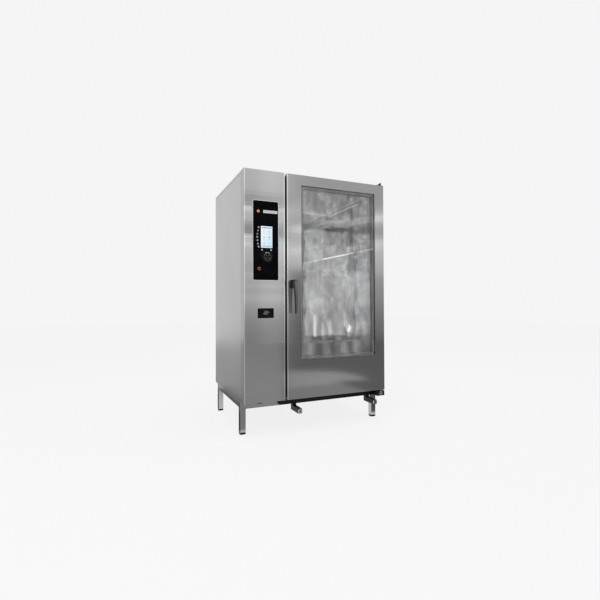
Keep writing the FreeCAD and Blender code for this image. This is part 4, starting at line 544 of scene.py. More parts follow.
moulded("sealRubber", (0.030, 0.030, 0.030), 0.62, fineness=500)
moulded("wool", (0.45, 0.40, 0.28), 0.95, fineness=160, depth=0.9, wear=1.4)
moulded("panelGlass", (0.0015, 0.0015, 0.002), 0.06, depth=0.0, shine=0.015)
moulded("printWhite", (0.62, 0.63, 0.64), 0.45, depth=0.04)
moulded("printGrey", (0.11, 0.11, 0.115), 0.45, depth=0.04)
# the door's lever: front painted lighter than its near-black sides, a painted shade along its left edge, and a back
# painted bright for a lighter reflection in the door
litAndShadedMoulding("gripPlastic", (0.078, 0.094, 0.106), (0.004, 0.004, 0.005), (0.86, 0.86, 0.87), 0.18)
clearGlass("doorGlass", (0.965, 0.97, 0.968))
clearGlass("lampGlass", (0.97, 0.97, 0.95), 0.06)
litScreen("screen", (0.94, 0.97, 0.98), (0.55, 0.76, 0.90), 0.98)
glow("screenInk", (0.10, 0.16, 0.21), 0.9)
glow("screenTile", (0.42, 0.56, 0.68), 0.9)
glow("barLight", (0.72, 0.71, 0.69), 0.75)
glow("amberLens", (0.85, 0.24, 0.12), 0.55, (0.35, 0.08, 0.04))

finishOf = {
    "columnSteel": "column_cover",
    "doorSteel": "door_skin",
    "sideSteel": "side_panel_left side_panel_right",
    "topSteel": "top_cover",
    "rearSteel": "rear_panel service_bulkhead",
    "innerSteel": "cavity_front_frame column_frame door_liner base_pan",
    "frameSteel": "door_glass_frame",
    "linerSteel": "cavity_liner air_baffle probe_holder lamp_ring",
    "tubeSteel": "stand_legs",
    "railSteel": "stand_rails",
    "turnedSteel": "docking_guide_caps lower_hinge_bolt door_hinge_pins door_hinge_bushes latch_spindle "
                   "inner_glass_knuckles inner_glass_pins strike_plate baffle_mounts steam_exhaust drain_pipe "
                   "steam_pipe heating_elements",
    "castSteel": "door_corner_blocks steam_generator fan_wheel_lower fan_wheel_upper",
    "bezelSteel": "panel_bezel",
    "brass": "water_inlets",
    "blackMetal": "docking_guides drip_gutter lower_hinge_arm upper_hinge_arm",
    "blackPlastic": "stand_feet switch_plate handle_block control_board_housing cable_gland inner_glass_catches",
    "knobPlastic": "control_knob",
    "pointerPlastic": "switch_pointer",
    "gripPlastic": "handle_lever",
    "motorPaint": "fan_motors power_board",
    "sealRubber": "door_seal",
    "wool": "insulation",
    "doorGlass": "door_glass_outer door_glass_inner",
    "lampGlass": "lamp_glass",
    "panelGlass": "control_glass",
    "screen": "display_screen",
}

for finish, names in finishOf.items():
    for name in names.split():
        if not nodes[name].data.materials:
            nodes[name].data.materials.append(finishes[finish])
        for slot in nodes[name].material_slots:
            slot.link = "OBJECT"
            slot.material = finishes[finish]
print("stage: finishes on every node")


panelSizes = {
    "printDepth": 0.0002,     # how far print stands on the glass
    "lineWidth": 0.0011,      # width of thin printed lines
    "arrowOut": 0.040,        # from the dial's middle sideways to an arrow's tip
    "arrowUp": 0.049,         # and upwards
    "barLevel": 1.5645,       # height of the status bar's middle
    "barIn": 0.074,           # from the glass's left edge to the bar
    "lensIn": 0.038,          # and to the middle of the round light
    "standbyIn": 0.0435,      # and to the middle of the standby mark
    "standbyLevel": 1.165,
    "scaleMarks": 13,         # marks round the dial
    "scaleStart": -60,        # degrees of the first, from the right
    "scaleStep": 25,          # degrees between them
    "markCount": 7,           # touch marks beside the display
    "markSize": 0.0060,       # radius of one touch mark
    "markBow": 0.010,         # how far their row bows away from the display
    "tileGap": 0.006,         # gap between tiles on the display
    "tileEdge": 0.0008,       # width of a tile's outline
    "glyphSize": 0.0095,
}


def buildPanelPrint():
    low, high = corners("control_glass")
    face, depth, line = low.y, panelSizes["printDepth"], panelSizes["lineWidth"]
    near, far = face - depth, face + depth
    dialLow, dialHigh = corners("control_knob")
    dial = centre("control_knob")
    radius = (dialHigh.x - dialLow.x) / 2
    arrows = bmesh.new()  # two above the dial
    for side in (-1, 1):
        a, b = dial.x + side * panelSizes["arrowOut"], dial.z + panelSizes["arrowUp"]
        back = a - side * 0.011
        plate(arrows, [(back, b + 0.0065), (a, b), (back, b - 0.0065)][::side], near, far)
    printed("dial_arrows", arrows, "printWhite")
    scale = bmesh.new()  # marks round the dial, each third one longer
    for step in range(panelSizes["scaleMarks"]):
        reaches = (radius + 0.003, radius + (0.0055 if step % 3 else 0.0075))
        turn = math.radians(panelSizes["scaleStart"] + step * panelSizes["scaleStep"])
        stroke(scale, spoke(dial.x, dial.z, turn, reaches), line * 0.8, near, far)
    printed("dial_scale", scale, "printGrey")

    level = panelSizes["barLevel"]
    bar = bmesh.new()
    plate(bar, rounded(low.x + panelSizes["barIn"], high.x - 0.006, level - 0.010, level + 0.010, 0.002), near, far)
    printed("status_bar", bar, "barLight")
    gauge = bmesh.new()  # a line and a tick on the bar
    tick = low.x + 0.131
    for ends in ([(low.x + 0.081, level), (high.x - 0.014, level)], [(tick, level - 0.005), (tick, level + 0.005)]):
        stroke(gauge, ends, line * 1.5, near - depth, near)
    printed("status_gauge", gauge, "screenInk")

    middle = (low.x + panelSizes["lensIn"], face, level)     # round light beside the bar
    lens, rim = bmesh.new(), bmesh.new()
    turned(lens, [(0, -0.0016), (0.006, -0.0013), (0.0098, -0.0004), (0.0105, 0.0002)], middle)
    piece("indicator_lens", lens, "amberLens", "cabinet")
    turned(rim, [(0.0112, 0.0002), (0.0112, -0.0009), (0.0126, -0.0009), (0.0130, 0.0002)], middle, "y", 40, True)
    piece("indicator_rim", rim, "blackPlastic", "cabinet")

    power = bmesh.new()  # standby mark: a broken ring and a bar
    a, b = low.x + panelSizes["standbyIn"], panelSizes["standbyLevel"]
    stroke(power, circle(a, b, 0.0095, 26, 0.34, 0.82), line * 2.0, near, far)
    stroke(power, [(a, b + 0.003), (a, b + 0.014)], line * 2.0, near, far)
    printed("standby_mark", power, "amberLens")


def touchMark(name):
    shape = bmesh.new()
    size = panelSizes["markSize"]
    wide, tall = size * 0.9, size * 0.8
    lines = {
        "ring": [circle(0, 0, tall, 21), [(0, 0), (0, size * 0.75)]],
        "bars": [[(-size * (1 - row * 0.25), (row - 1) * size * 0.7), (size * (1 - row * 0.25), (row - 1) * size * 0.7)]
                 for row in range(3)],
        "wedge": [[(-wide, -tall), (0, size), (wide, -tall), (-wide, -tall)]],
    }[name]
    for points in lines:
        stroke(shape, points, panelSizes["lineWidth"] * 1.9, -0.0001, 0.0001)
    return newObject(name + "Pattern", meshOf(name, shape))


def buildTouchMarks():
    # a short column of printed touch marks, bowed away from the display
    face = corners("control_glass")[0].y - panelSizes["printDepth"] / 2
    low, high = corners("display_screen")
    spots = []
    for step in range(panelSizes["markCount"]):
        share = step / (panelSizes["markCount"] - 1)
        bow = math.sin(math.pi * share) * panelSizes["markBow"]
        spots.append((low.x - 0.017 - bow, face, high.z - 0.010 - share * (high.z - low.z - 0.016)))
    patterns = {name: touchMark(name) for name in ("ring", "bars", "wedge")}
    for number, (name, pattern) in enumerate(patterns.items()):
        grown(f"touch_marks_{name}", "scatter", spots[number::3], [],
              {"Pattern": pattern, "Turn": (0, 0, 0), "Spin": 0.0, "Scale": 1.0}, "printWhite", "cabinet")
        bpy.data.objects.remove(pattern)


def glyph(shape, kind, a, b, size, near, far):
    # small generic pictures for the display
    def draw(points, width=0.16):
        stroke(shape, [(a + size * across, b + size * up) for across, up in points], size * width, near, far)

    if kind == "drop":
        draw([(0, 1), (0.55, 0), (0.38, -0.6), (0, -0.8), (-0.38, -0.6), (-0.55, 0), (0, 1)])
    if kind == "clock":
        draw(circle(0, 0, 0.85, 21))
        draw([(0, 0.5), (0, 0), (0.4, 0)])
    if kind == "heat":
        for shift in (-0.55, 0, 0.55):
            draw([(shift + 0.18 * math.sin(step * 1.3), step / 4 - 0.8) for step in range(7)])
    if kind == "fan":
        for turn in (0.5 + turn for turn in turnsOf(3)):
            draw([(reach * math.cos(turn + reach * 0.9), reach * math.sin(turn + reach * 0.9))
                  for reach in (0.1, 0.4, 0.7, 0.95)], 0.32)
    if kind == "gauge":
        draw([(0, 0.9), (0, -0.4)], 0.256)
        plate(shape, circle(a, b - size * 0.6, size * 0.34, 17)[:-1], near, far)
    if kind == "steps":
        draw([(-0.8, -0.6), (-0.2, -0.6), (-0.2, 0.1), (0.4, 0.1), (0.4, 0.7), (0.9, 0.7)])


def buildDisplay():
    low, high = corners("display_screen")
    face = corners("control_glass")[0].y
    depth, gap, edge = panelSizes["printDepth"], panelSizes["tileGap"], panelSizes["tileEdge"]
    tiles, ink = bmesh.new(), bmesh.new()
    for bottom, top in ((high.z - 0.017, high.z - 0.006), (low.z + 0.006, low.z + 0.014)):
        plate(tiles, rounded(low.x + 0.004, high.x - 0.004, bottom, top, 0.002), face - depth, face)
    title = high.z - 0.0115
    stroke(ink, [(low.x + 0.010, title), (low.x + 0.044, title)], 0.0026, face - 2 * depth, face - depth)
    wide = (high.x - low.x - 3 * gap) / 2
    tall = (high.z - low.z - 0.034 - 2 * gap) / 3
    for number, kind in enumerate(("drop", "clock", "heat", "fan", "gauge", "steps")):
        a = low.x + gap + wide / 2 + (wide + gap) * (number % 2)
        b = high.z - 0.022 - tall / 2 - (tall + gap * 0.7) * (number // 2)
        tile = (a - wide / 2, a + wide / 2, b - tall / 2, b + tall / 2)
        frameRing(tiles, rounded(*tile, 0.004), rounded(*tile, 0.0034, gap=edge), face - depth, face)
        glyph(ink, kind, a, b + 0.002, panelSizes["glyphSize"], face - 2 * depth, face - depth / 2)
        under = b - tall / 2 + 0.005
        stroke(ink, [(a - 0.007, under), (a + 0.007, under)], 0.0012, face - 2 * depth, face - depth / 2)
    printed("display_tiles", tiles, "screenTile")
    printed("display_glyphs", ink, "screenInk")


dialSizes = {
    "rise": 0.0001,           # how far the marks stand out of the dial
    "sink": 0.0004,           # and how deep they go in
    "ring": (0.0245, 0.0262), # inner and outer radius of the printed ring
    "cross": (0.007, 0.0235), # start and end of the cross's arms
    "pointer": (0.0275, 0.0335),
    "arc": 0.0300,
}


def buildDialCap():
    # a printed cap on the dial: a ring, a cross, a short arc and a pointer line
    low, middle = corners("control_knob")[0], centre("control_knob")
    near, far = low.y - dialSizes["rise"], low.y + dialSizes["sink"]
    inner, outer = dialSizes["ring"]
    ring, mark, arc, pointer = bmesh.new(), bmesh.new(), bmesh.new(), bmesh.new()
    turned(ring, [(inner, dialSizes["sink"]), (inner, -dialSizes["rise"]), (outer, -dialSizes["rise"]),
                  (outer, dialSizes["sink"])], (middle.x, low.y, middle.z), "y", 48, True)
    piece("dial_ring", ring, "printGrey", "knob")
    for turn in (0.25, 0.75, 1.25, 1.75):
        stroke(mark, spoke(middle.x, middle.z, turn * math.pi, dialSizes["cross"]), 0.0022, near, far)
    printed("dial_cross", mark, "printGrey", "knob")
    stroke(arc, circle(middle.x, middle.z, dialSizes["arc"], 15, 0.16, 0.18), 0.0018, near, far)
    printed("dial_arc", arc, "printWhite", "knob")
    stroke(pointer, [(middle.x, middle.z + reach) for reach in dialSizes["pointer"]], 0.0020, near, far)
    printed("dial_pointer", pointer, "printWhite", "knob")


buildPanelPrint()
buildTouchMarks()
buildDisplay()
buildDialCap()
print("stage: control panel")


sealSizes = {
    "bulb": 0.0042,           # radius of the round lip
    "bulbIn": 0.0065,         # from the seal's outer edge to the bulb's middle
    "width": 0.0128,
    "lipsIn": (0.0025, 0.0105),
    "lip": 0.0014,            # radius of a small lip
    "cornerRadius": 0.030,
}


def buildSeal():
    low, high = corners("door_seal")
    depth = high.y - low.y

    def loop(gap):
        return rounded(low.x, high.x, low.z, high.z, sealSizes["cornerRadius"] - gap, 8, gap)

    def tube(shape, gap, level, radius, count):
        tubeAlong(shape, [(a, level, b) for a, b in loop(gap)], radius, count, True)

    foot, bulb, lips = bmesh.new(), bmesh.new(), bmesh.new()
    frameRing(foot, loop(0.0), loop(sealSizes["width"]), low.y + depth * 0.62, high.y)
    piece("seal_foot", foot, "sealRubber", "cabinet", smooth=False)
    tube(bulb, sealSizes["bulbIn"], low.y + sealSizes["bulb"], sealSizes["bulb"], 14)
    for gap in sealSizes["lipsIn"]:
        tube(lips, gap, low.y + depth * 0.55, sealSizes["lip"], 8)
    piece("seal_lips", lips, "sealRubber", "cabinet")
    piece("seal_bulb", bulb, "sealRubber", "cabinet", stands=["door_seal"])


woolSizes = {
    "cell": 0.030,            # longest edge before the surface is roughened
    "depth": 0.0026,          # how far the hollows go in
}


def buildWool():
    source = nodes["insulation"]
    shape = bmesh.new()
    shape.from_mesh(source.data)
    bmesh.ops.transform(shape, matrix=source.matrix_world, verts=shape.verts)
    bmesh.ops.remove_doubles(shape, verts=shape.verts, dist=1e-6)
    bmesh.ops.triangulate(shape, faces=shape.faces)
    for turn in range(7):
        long = [edge for edge in shape.edges if edge.calc_length() > woolSizes["cell"]]
        if long:
            bmesh.ops.subdivide_edges(shape, edges=long, cuts=1, use_grid_fill=False)
            bmesh.ops.triangulate(shape, faces=[face for face in shape.faces if len(face.verts) > 3])
    shape.normal_update()
    moves = {}
    for vertex in shape.verts:
        amount = noise.noise(vertex.co * 26) * 0.5 + noise.noise(vertex.co * 90) * 0.5 + 0.6
        moves[vertex] = vertex.normal * -woolSizes["depth"] * min(max(amount, 0.1), 1.0)
    for vertex, move in moves.items():
        vertex.co += move
    piece("wool_batts", shape, "wool", "cabinet", stands=["insulation"])


coilSizes = {
    "tube": 0.0043,           # radius of a heating tube
    "tubeIn": 0.0045,         # from the CAD ring's outside to the tube's middle
    "leg": 0.0037,            # radius of a leg
    "legOut": 0.026,          # from the ring's middle sideways to a leg
    "steps": 96,
    "ferrules": ((0.004, 0.006, 0.0062, 6), (0.012, 0.009, 0.0056, 20)),   # start, length, radius, sides
}


def buildHeaters():
    rings, legs, ferrules = bmesh.new(), bmesh.new(), bmesh.new()
    low, high = corners("heating_elements")
    outer = (high.y - low.y) / 2
    radius = outer - coilSizes["tubeIn"]
    plane = high.x - coilSizes["tubeIn"]
    middle = (low.y + high.y) / 2
    for level in (low.z + outer, high.z - outer):
        tubeAlong(rings, [(plane, a, b) for a, b in circle(middle, level, radius, coilSizes["steps"])],
                  coilSizes["tube"], 14, True)
        for side in (-1, 1):
            out = coilSizes["legOut"] * side
            rise = level + math.sqrt(radius * radius - out * out)
            tubeAlong(legs, [(low.x, middle + out, rise), (plane, middle + out, rise)], coilSizes["leg"], 14)
            for start, length, size, sides in coilSizes["ferrules"]:
                near, far = low.x + start, low.x + start + length
                turned(ferrules, [(0.0034, near), (size, near), (size, far), (0.0034, far)],
                       (0, middle + out, rise), "x", sides, True)
    piece("heater_rings", rings, "heaterSteel", "cabinet", stands=["heating_elements"])
    piece("heater_legs", legs, "heaterSteel", "cabinet")
    piece("heater_ferrules", ferrules, "brass", "cabinet")


buildSeal()
buildWool()
buildHeaters()
print("stage: seal, insulation and heating coils")


threadSizes = {
    "radius": 0.0128,
    "pitch": 0.0018,
    "turns": 9.0,
    "wire": 0.0010,
    "sides": 4,
    "ribs": 24,               # ribs round the cable gland's nut
    "ribReach": 0.0118,
    "rib": 0.0011,            # radius of one rib
}


def buildThreads():
    seeds = []
    for low, high in islands("water_inlets"):
        middle = (low + high) / 2
        seeds.append((middle.x, high.y - 0.0015, middle.z))
    grown("inlet_threads", "coil", seeds, [],
          {"Radius": threadSizes["radius"], "Pitch": threadSizes["pitch"], "Turns": threadSizes["turns"],
           "Wire": threadSizes["wire"], "Sides": threadSizes["sides"], "Turn": (math.radians(90), 0, 0)},
          "brass", "cabinet")
    ribs = bmesh.new()
    low, high = corners("cable_gland")
    middle = (low + high) / 2
    for turn in turnsOf(threadSizes["ribs"]):
        spot = spoke(middle.x, middle.z, turn, [threadSizes["ribReach"]])[0]
        plate(ribs, circle(*spot, threadSizes["rib"], 8), high.y - 0.016, high.y - 0.002)
    piece("gland_ribs", ribs, "blackPlastic", "cabinet")


screwSizes = {
    "head": 0.0042,           # radius of a small screw's head
    "edge": 0.011,            # distance from a sheet's edge
    "rearRows": 8,            # screws up each side of the rear panel
    "rearGaps": 6,            # gaps between screws along its top and bottom
    "baffleIn": 0.020,        # from the baffle's edge
    "strikeIn": 0.009,        # from the ends of the strike plate
    "lampIn": 0.0045,         # from the lamp ring's outside
    "hingeOut": 0.016,        # from the hinge arm's middle, sideways
    "hingeIn": 0.015,         # from its end
    "hingePitch": 0.030,
}


def screwPattern():
    # a pan head of radius 1 with a six-sided socket, pointing along z
    shape = bmesh.new()
    rise, sixth = 0.52, math.pi / 3
    rings = []
    for radius, height, sixSided in ((1.0, 0.0, False), (1.0, rise * 0.35, False), (0.9, rise * 0.75, False),
                                     (0.62, rise, False), (0.44, rise, True), (0.40, rise * 0.3, True)):
        ring = []
        for turn in turnsOf(24):
            reach = radius * math.cos(sixth / 2) / math.cos(turn % sixth - sixth / 2) if sixSided else radius
            ring.append(shape.verts.new((reach * math.cos(turn), reach * math.sin(turn), height)))
        rings.append(ring)
    skinRings(shape, rings)
    for ring in (rings[0], rings[-1]):
        shape.faces.new(ring)
    return bpy.data.objects.new("screwPattern", meshOf("screwPattern", shape))   # never linked to the scene


screwShape = screwPattern()
facing = {                   # turn of a head, the axis that it looks along, and the way to its sheet
    "back": ((math.radians(-90), 0, 0), 1, -1),
    "front": ((math.radians(90), 0, 0), 1, 1),
    "up": ((0, 0, 0), 2, -1),
    "right": ((0, math.radians(90), 0), 0, -1),
}


def screws(name, node, places, way, start, size=1.0, body="cabinet"):
    # moves each place from the start onto the node's surface, leaving out places over a gap
    turn, axis, sign = facing[way]
    landed = []
    for place in places:
        origin, direction = list(place), [0, 0, 0]
        origin[axis], direction[axis] = start, sign
        landed.append(touch(node, origin, direction))
    grown(name, "scatter", [place for place in landed if place], [],
          {"Pattern": screwShape, "Turn": turn, "Spin": 3.0, "Scale": screwSizes["head"] * size},
          "screwSteel", body)


def buildScrews():
    edge, rows, gaps = screwSizes["edge"], screwSizes["rearRows"], screwSizes["rearGaps"]
    low, high = corners("rear_panel")
    places = []
    for step in range(rows):
        level = low.z + edge + (high.z - low.z - 2 * edge) * step / (rows - 1)
        places += [(low.x + edge, 0, level), (high.x - edge, 0, level)]
    for step in range(1, gaps):
        across = low.x + edge + (high.x - low.x - 2 * edge) * step / gaps
        places += [(across, 0, low.z + edge), (across, 0, high.z - edge)]
    screws("rear_screws", "rear_panel", places, "back", 0.6)
    low, high = corners("strike_plate")
    middle = centre("strike_plate")
    places = [(middle.x, 0, low.z + screwSizes["strikeIn"]), (middle.x, 0, high.z - screwSizes["strikeIn"])]
    screws("strike_screws", "strike_plate", places, "front", -0.6)
    low, high = corners("lamp_ring")
    middle = centre("lamp_ring")
    reach = (high.x - low.x) / 2 - screwSizes["lampIn"]
    places = [(middle.x + reach * math.cos(turn), 0, middle.z + reach * math.sin(turn))
              for turn in (math.pi / 4 + math.pi / 2 * step for step in range(4))]
    screws("lamp_screws", "lamp_ring", places, "front", 0, 0.62)
    low, high = corners("air_baffle")
    gap = screwSizes["baffleIn"]
    places = [(0, across, level) for across in (low.y + gap, high.y - gap)
              for level in (low.z + gap, (low.z + high.z) / 2, high.z - gap)]
    screws("baffle_screws", "air_baffle", places, "right", 0.3, 1.5, "baffle")
    low, high = corners("upper_hinge_arm")
    out, end, pitch = (screwSizes[name] for name in ("hingeOut", "hingeIn", "hingePitch"))
    places = [((low.x + high.x) / 2 + side * out, high.y - end - row * pitch, 0)
              for side in (-1, 1) for row in range(2)]
    screws("hinge_screws", "upper_hinge_arm", places, "up", 2.2, 1.2)


weldSizes = {
    "spacing": 0.0026,
    "drop": 0.0021,           # radius of one drop
    "above": 0.0005,          # how far the bead lies above the rail's underside
}


def buildWelds():
    # beads where the stand's legs meet its rails
    points, edges = [], []
    level = corners("stand_rails")[0].z + weldSizes["above"]
    for low, high in islands("stand_legs"):
        ring = [Vector(corner) for corner in ((low.x, low.y), (high.x, low.y), (high.x, high.y), (low.x, high.y))]
        inward = Vector(((low.x + high.x) / 2, (low.y + high.y) / 2))
        for pair in zip(ring, ring[1:] + ring[:1]):
            ends = [end.lerp(inward, 0.02) for end in pair]
            points += [(end.x, end.y, level) for end in ends]
            edges.append((len(points) - 2, len(points) - 1))
    grown("stand_welds", "bead", points, edges, {"Spacing": weldSizes["spacing"], "Drop": weldSizes["drop"]},
          "weldSteel", "cabinet")


louvreSizes = {
    "count": 9,
    "pitch": 0.026,
    "lowest": 0.560,          # height of the lowest hood's foot
    "left": 0.090,            # from the rear panel's side
    "width": 0.190,
    "height": 0.013,
    "rise": 0.0075,           # how far a hood stands off the sheet
    "sheet": 0.0010,
    "steps": 9,               # points along a hood's curve
}


def buildLouvres():
    low, high = corners("rear_panel")
    rise, sheet, tall, steps = (louvreSizes[name] for name in ("rise", "sheet", "height", "steps"))
    left = low.x + louvreSizes["left"]
    right = left + louvreSizes["width"]
    quarter = [math.pi / 2 * step / (steps - 1) for step in range(steps)]
    hoods = bmesh.new()
    for row in range(louvreSizes["count"]):
        base = louvreSizes["lowest"] + louvreSizes["pitch"] * row
        outer, inner = [[(high.y + reach * math.sin(turn), base + tall - tall * (1 - math.cos(turn)) - (rise - reach))
                         for turn in quarter] for reach in (rise, rise - sheet)]
        plate(hoods, outer + inner[::-1], left, right, "x")
        for end in (left, right - sheet):
            plate(hoods, [(high.y, base)] + outer[::-1], end, end + sheet, "x")
    piece("louvre_hoods", hoods, "rearSteel", "cabinet")


motorSizes = {
    "fins": 28,
    "finFoot": 0.0770,        # radius where a fin starts
    "finReach": 0.0885,
    "finThick": 0.0022,
    "finEnd": 0.012,          # from the motor's end to a fin
}


def buildMotors():
    fins, cowls = bmesh.new(), bmesh.new()
    foot, reach = motorSizes["finFoot"], motorSizes["finReach"]
    for low, high in islands("fan_motors"):
        middle = (low + high) / 2
        base = Vector((0, middle.y, middle.z))
        for turn in turnsOf(motorSizes["fins"]):
            out = Vector((0, math.cos(turn), math.sin(turn)))
            across = Vector((0, -math.sin(turn), math.cos(turn))) * motorSizes["finThick"] / 2
            rings = [[fins.verts.new(base + Vector((start, 0, 0)) + out * far + across * side)
                      for far, side in ((foot, 1), (reach, 0.7), (reach, -0.7), (foot, -1))]
                     for start in (low.x + motorSizes["finEnd"], high.x - motorSizes["finEnd"])]
            skinRings(fins, rings)
            for ring in rings:
                fins.faces.new(ring)
        profile = [(0.0, 0.0), (0.050, 0.0), (0.070, 0.006), (0.0795, 0.018), (0.0795, 0.030), (0.0, 0.030)]
        turned(cowls, profile, (low.x, middle.y, middle.z), "x", 48)
    piece("motor_fins", fins, "motorPaint", "cabinet", smooth=False)
    piece("motor_cowls", cowls, "blackPlastic", "cabinet")


buildThreads()
buildScrews()
buildWelds()
buildLouvres()
buildMotors()
print("stage: threads, screws, welds, louvres and motor fins")


studio = {
    "backdrop": 0.915,        # seen by the camera, and in metal and glass
    "fill": 0.75,             # what the world gives plain surfaces
    "floorSize": 30.0,
    "shadow": 0.14,           # how far the floor's own shading shows
    "floorGain": 1.035,       # evens the floor with the backdrop
    "wallTop": 4.2,
    "wallDepth": -6,          # y of the wall behind the camera
    "stripDepth": -5.9,       # and of the thin lights, people and round lights in front of it
    "passerDepth": -5.8,
    "gleamDepth": -5.7,
    "passerLevel": 0.85,
    "clutterTones": (0.30, 2.1),   # darkest and brightest part of a mottled board
    "cameraPlace": (-1.3360, -3.1173, 0.9409),
    "cameraTurns": (("Z", -23.84), ("X", 90.865), ("Z", -0.20)),   # in degrees
    "cameraLens": 24.315,
    "cameraShift": (-0.0012, -0.0090),
}


def seenDirectly(tree):
    # 1 for rays from the camera and for those off metal or through glass, otherwise 0
    path = addNode(tree, "ShaderNodeLightPath").outputs
    either = calculate(tree, "MAXIMUM", path["Is Camera Ray"], path["Is Glossy Ray"])
    return calculate(tree, "MAXIMUM", either, path["Is Transmission Ray"])


def buildWorld():
    world = bpy.data.worlds.new("studioWorld")
    bpy.context.scene.world = world
    world.use_nodes = True
    tree = world.node_tree
    fill = tree.nodes["Background"]
    feed(tree, fill, {"Color": (1, 1, 1, 1), "Strength": studio["fill"]})
    seen = addNode(tree, "ShaderNodeBackground", {"Color": (studio["backdrop"],) * 3 + (1,)})
    mix = addNode(tree, "ShaderNodeMixShader", {0: seenDirectly(tree), 1: fill.outputs[0], 2: seen.outputs[0]})
    feed(tree, tree.nodes["World Output"], {"Surface": mix.outputs[0]})


def planeMesh(name, points):
    mesh = bpy.data.meshes.new(name)
    mesh.from_pydata(points, [], [tuple(range(len(points)))])
    return newObject(name, mesh)


def buildFloor():
    half = studio["floorSize"] / 2
    floor = planeMesh("studioFloor", [(-half, -half, 0), (half, -half, 0), (half, half, 0), (-half, half, 0)])
    material, tree, shader = newMaterial("floorPaper", (0.80, 0.80, 0.80), 0.0, 0.9)
    glowing = addNode(tree, "ShaderNodeEmission", {"Color": (studio["backdrop"],) * 3 + (1,),
                                                   "Strength": studio["floorGain"]})
    share = calculate(tree, "MULTIPLY", seenDirectly(tree), 1 - studio["shadow"])
    mix = addNode(tree, "ShaderNodeMixShader", {0: share, 1: shader.outputs[0], 2: glowing.outputs[0]})
    feed(tree, tree.nodes["Material Output"], {"Surface": mix.outputs[0]})
    floor.data.materials.append(material)


columnBands = [              # height on the wall behind the camera, and how bright the room is there
    (0.00, 0.40), (0.30, 0.43), (0.55, 0.50), (0.90, 0.70), (1.04, 0.82), (1.14, 0.69), (1.26, 0.84), (1.36, 0.72),
    (1.50, 0.86), (1.64, 0.74), (1.90, 0.88), (2.20, 0.92), (2.44, 0.46), (2.72, 0.92), (3.08, 0.60), (3.35, 0.86),
    (4.20, 0.90),
]
doorBands = [
    (0.00, 0.27), (0.45, 0.36), (0.90, 0.50), (1.40, 0.62), (1.72, 0.90), (2.10, 1.00), (2.62, 0.64),
    (3.00, 0.90), (3.30, 0.66), (4.20, 0.72),
]


def banded(tree, bands, level):
    # how bright a board is at each height
    ramp = addNode(tree, "ShaderNodeFloatCurve")
    curve = ramp.mapping.curves[0]
    top, brightest = bands[-1][0], max(value for height, value in bands)
    while len(curve.points) < len(bands):
        curve.points.new(0.5, 0.5)
    for spot, (height, value) in zip(curve.points, bands):
        spot.location = (height / top, value / brightest)
        spot.handle_type = "AUTO_CLAMPED"
    ramp.mapping.update()
    feed(tree, ramp, {"Value": spread(tree, axesOf(tree)["Z"], 0, 1, 0, top)})
    return spread(tree, ramp.outputs[0], 0, brightest * level, 0, 1)


def card(name, points, level, bands=None, inSteel=True, inGlass=True, clutter=None, hue=(1, 1, 1)):
    # a grey or bright board round the object, seen only in reflections
    # inSteel: in straight reflections; inGlass: in those seen through the door's glass
    # clutter: how close the shapes on it lie along each axis
    board = planeMesh(name, points)
    material, tree, shader = newMaterial(name + "Paper", (0, 0, 0), 0.0, 1.0)
    colour, strength = [level * value for value in hue], 1.0
    if bands:
        colour, strength = hue, banded(tree, bands, level)
    if clutter:
        shapes = placedNoise(tree, clutter, detail=4.0)
        dark, bright = studio["clutterTones"]
        colour, strength = hue, spread(tree, shapes, level * dark, level * bright, 0.40, 0.62)
    feed(tree, shader, {"Emission Color": (*colour, 1), "Emission Strength": strength})
    board.data.materials.append(material)
    board.visible_camera = board.visible_diffuse = board.visible_shadow = False
    board.visible_glossy = inSteel
    board.visible_transmission = inGlass


def wall(name, across, heights, level, depth=studio["wallDepth"], tilt=0, **seen):
    # an upright board that faces the oven
    (left, right), (low, high) = across, heights
    card(name, [(left, depth, low), (right, depth, low + tilt), (right, depth, high + tilt), (left, depth, high)],
         level, **seen)


def sideWall(name, x, depths, heights, level):
    # an upright board to the left or right of the oven
    (near, far), (low, high) = depths, heights
    card(name, [(x, near, low), (x, far, low), (x, far, high), (x, near, high)], level, inGlass=False)


def floorBoard(name, outline, height, level, **seen):
    # a board lying on the floor, given by its outline or by two opposite corners
    if len(outline) == 2:
        (left, near), (right, far) = outline
        outline = [(left, near), (right, near), (right, far), (left, far)]
    card(name, [(x, y, height) for x, y in outline], level, **seen)


def strip(name, left, right, thickness, level, **seen):
    # a thin slanting light on the wall behind the camera, from (x, z) to (x, z)
    half, depth = thickness / 2, studio["stripDepth"]
    card(name, [(left[0], depth, left[1] - half), (right[0], depth, right[1] - half),
                (right[0], depth, right[1] + half), (left[0], depth, left[1] + half)], level, **seen)


def lamp(name, place, aim, width, height, power):
    light = bpy.data.lights.new(name, "AREA")
    light.shape = "RECTANGLE"
    light.size, light.size_y, light.energy = width, height, power
    thing = newObject(name, light)
    thing.rotation_euler = (Vector(aim) - Vector(place)).to_track_quat("-Z", "Y").to_euler()
    thing.location = place
    thing.visible_glossy = False  # no lamp shows in polished steel
    return thing


def buildLamps():
    # the oven's own light, softened; it falls on plain surfaces only
    for name, place, aim, size, power in (("cavityLamp", (0.24, -0.05, 1.20), (0.24, -0.05, 0.30), 0.4, 2.2),
                                          ("cavityUpLamp", (-0.08, -0.05, 0.95), (0.46, 0.05, 1.45), 0.2, 0.9)):
        thing = lamp(name, place, aim, size, size, power)
        thing.visible_camera = thing.visible_transmission = False
    lamp("keyLamp", (-3.2, -3.0, 3.4), (0, 0, 1.0), 2.4, 2.4, 60)
    lamp("topLamp", (0.2, -0.6, 4.4), (0, 0, 0.8), 3.0, 2.0, 60)


